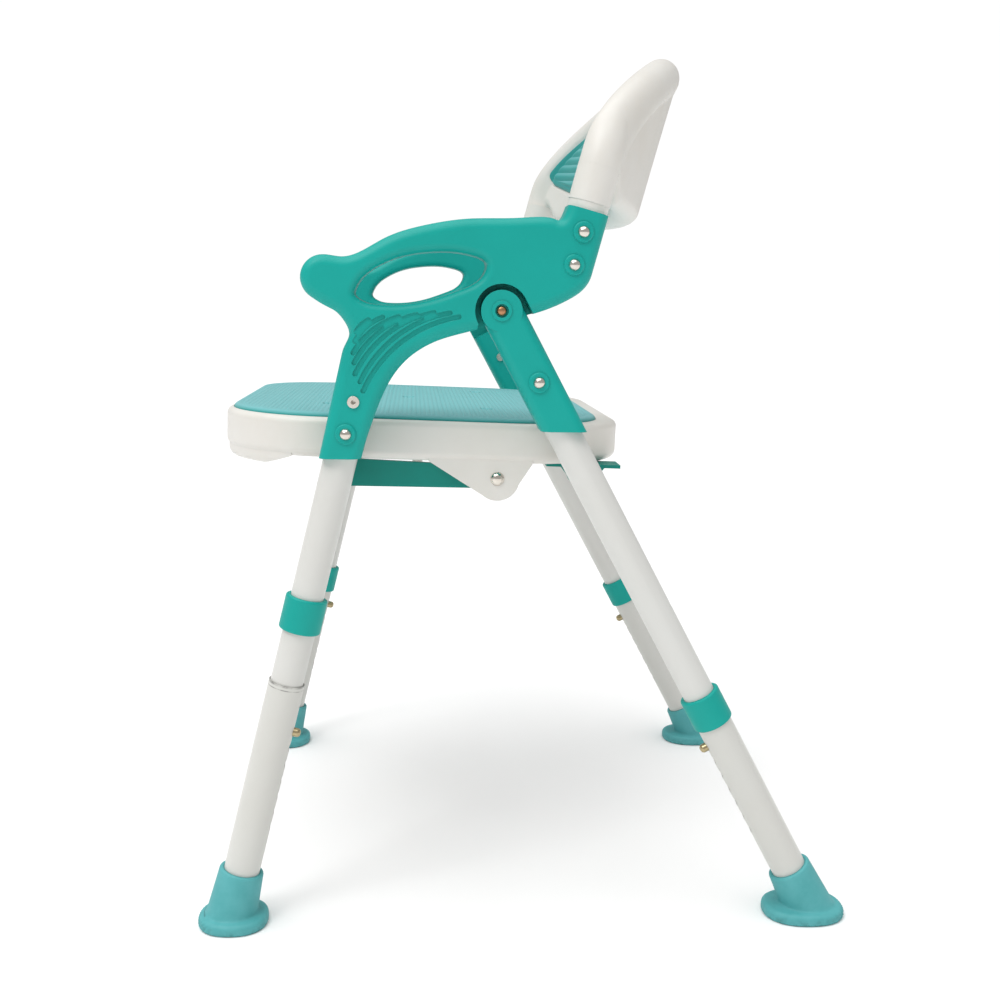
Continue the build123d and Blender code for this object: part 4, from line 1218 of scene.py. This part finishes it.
# ---------------------------------------------------------------- studio
@dataclass
class Studio:
    """Pale floor, soft lights and the camera.

    Attributes:
        focal: focal length, in widths of the square frame.
        yaw_deg: camera's turn towards +X.
        pitch_deg: camera's tilt down.
        roll_deg: camera's turn about its own axis.
        place: camera's place, in millimetres.
        sensor_mm: width of the sensor.
        key_place: the key light's place, in metres.
        key_size: its side, in metres.
        key_power: its power in watts.
        aim: point that it faces, in metres.
        ceiling_strength: strength of the ceiling's light.
        ceiling_angle_deg: how broad the ceiling looks from the chair.
        room_strength: brightness of the room as a light.
        room_seen: brightness of the room as the camera sees it.
        floor_half: half the floor's side, in metres.
    """

    focal: float = 1.25994
    yaw_deg: float = 4.1087
    pitch_deg: float = 8.9997
    roll_deg: float = 1.0109
    place: tuple[float, float, float] = (-108.57, -1322.24, 561.25)
    sensor_mm: float = 36.0
    key_place: tuple[float, float, float] = (-1.3, -1.5, 2.4)
    key_size: float = 0.9
    key_power: float = 16.0
    aim: tuple[float, float, float] = (0.0, 0.0, 0.4)
    ceiling_strength: float = 2.1
    ceiling_angle_deg: float = 70.0
    room_strength: float = 0.5
    room_seen: float = 1.02
    floor_half: float = 12.0

    def camera(self) -> None:
        """Make the camera: its axes come from yaw and pitch, then roll about the view's axis."""
        yaw, pitch, roll = (math.radians(v) for v in (self.yaw_deg, self.pitch_deg, self.roll_deg))
        level = math.cos(pitch)
        ahead = Vector((math.sin(yaw) * level, math.cos(yaw) * level, -math.sin(pitch)))
        right = Vector((math.cos(yaw), -math.sin(yaw), 0))
        up = right.cross(ahead)
        turned_right = right * math.cos(roll) + up * math.sin(roll)
        turned_up = up * math.cos(roll) - right * math.sin(roll)
        lens = bpy.data.cameras.new("camera")
        lens.sensor_width = self.sensor_mm
        lens.lens = self.focal * self.sensor_mm
        lens.clip_start, lens.clip_end = 0.05, 50
        camera = bpy.data.objects.new("camera", lens)
        bpy.context.scene.collection.objects.link(camera)
        turn = Matrix((turned_right, turned_up, -ahead)).transposed().to_4x4()
        camera.matrix_world = Matrix.Translation(Vector(self.place) * MM) @ turn
        bpy.context.scene.camera = camera

    def key_light(self) -> None:
        """Add a square soft light that faces the chair."""
        lamp = bpy.data.lights.new("key_softbox", "AREA")
        lamp.shape, lamp.size, lamp.energy = "SQUARE", self.key_size, self.key_power
        holder = bpy.data.objects.new("key_softbox", lamp)
        holder.location = self.key_place
        direction = Vector(self.aim) - Vector(self.key_place)
        holder.rotation_mode = "QUATERNION"
        holder.rotation_quaternion = direction.to_track_quat("-Z", "Y")
        bpy.context.scene.collection.objects.link(holder)

    def ceiling(self) -> None:
        """Add the ceiling's broad light, even over the whole floor."""
        lamp = bpy.data.lights.new("ceiling_light", "SUN")
        lamp.energy, lamp.angle = self.ceiling_strength, math.radians(self.ceiling_angle_deg)
        holder = bpy.data.objects.new("ceiling_light", lamp)
        holder.rotation_euler = (math.radians(8), math.radians(-10), 0)
        bpy.context.scene.collection.objects.link(holder)

    def room(self) -> None:
        """Surround the chair with a white room that looks brighter than the light it gives."""
        world = bpy.data.worlds.new("white_room")
        world.use_nodes = True
        tree = world.node_tree
        seen = add_node(tree, "LightPath").outputs["Is Camera Ray"]
        strength = add_node(
            tree, "MapRange", {3: self.room_strength, 4: self.room_seen}, Value=seen
        ).outputs["Result"]
        tree.nodes["Background"].inputs["Color"].default_value = linear("#FFFFFF")
        tree.links.new(strength, tree.nodes["Background"].inputs["Strength"])
        bpy.context.scene.world = world

    def floor(self) -> None:
        """Add a wide matt floor."""
        half = self.floor_half
        corners = [(-half, -half, 0), (half, -half, 0), (half, half, 0), (-half, half, 0)]
        mesh = bpy.data.meshes.new("floor")
        mesh.from_pydata(corners, [], [(0, 1, 2, 3)])
        floor = bpy.data.objects.new("floor", mesh)
        bpy.context.scene.collection.objects.link(floor)
        # Matt white paper: the floor only holds a soft shadow.
        paper = bpy.data.materials.new("matt_white_paper")
        paper.use_nodes = True
        shader = paper.node_tree.nodes["Principled BSDF"]
        shader.inputs["Base Color"].default_value = linear("#FCFCFC")
        shader.inputs["Roughness"].default_value = 0.9
        shader.inputs["Specular IOR Level"].default_value = 0.1
        mesh.materials.append(paper)

    def build(self) -> None:
        """Set up the camera, the lights, the floor and the plain view transform."""
        self.camera()
        self.floor()
        self.key_light()
        self.ceiling()
        self.room()
        scene = bpy.context.scene
        scene.view_settings.view_transform = "Standard"
        scene.view_settings.look = "None"


def main() -> None:
    """Build the chair and its studio, and log each piece."""
    logging.basicConfig(level=logging.INFO, format="%(name)s: %(message)s")
    Studio().build()
    paints = Paints()
    parts = [CarriedNodes(paints), Backrest(paints), Seat(paints)]
    parts += [Foot(paints, LegLine(end, side)) for end in End for side in Side]
    for part in parts:
        for piece in part.build():
            LOG.info("%s: %d faces", piece.name, len(piece.data.polygons))


if __name__ == "__main__":
    main()
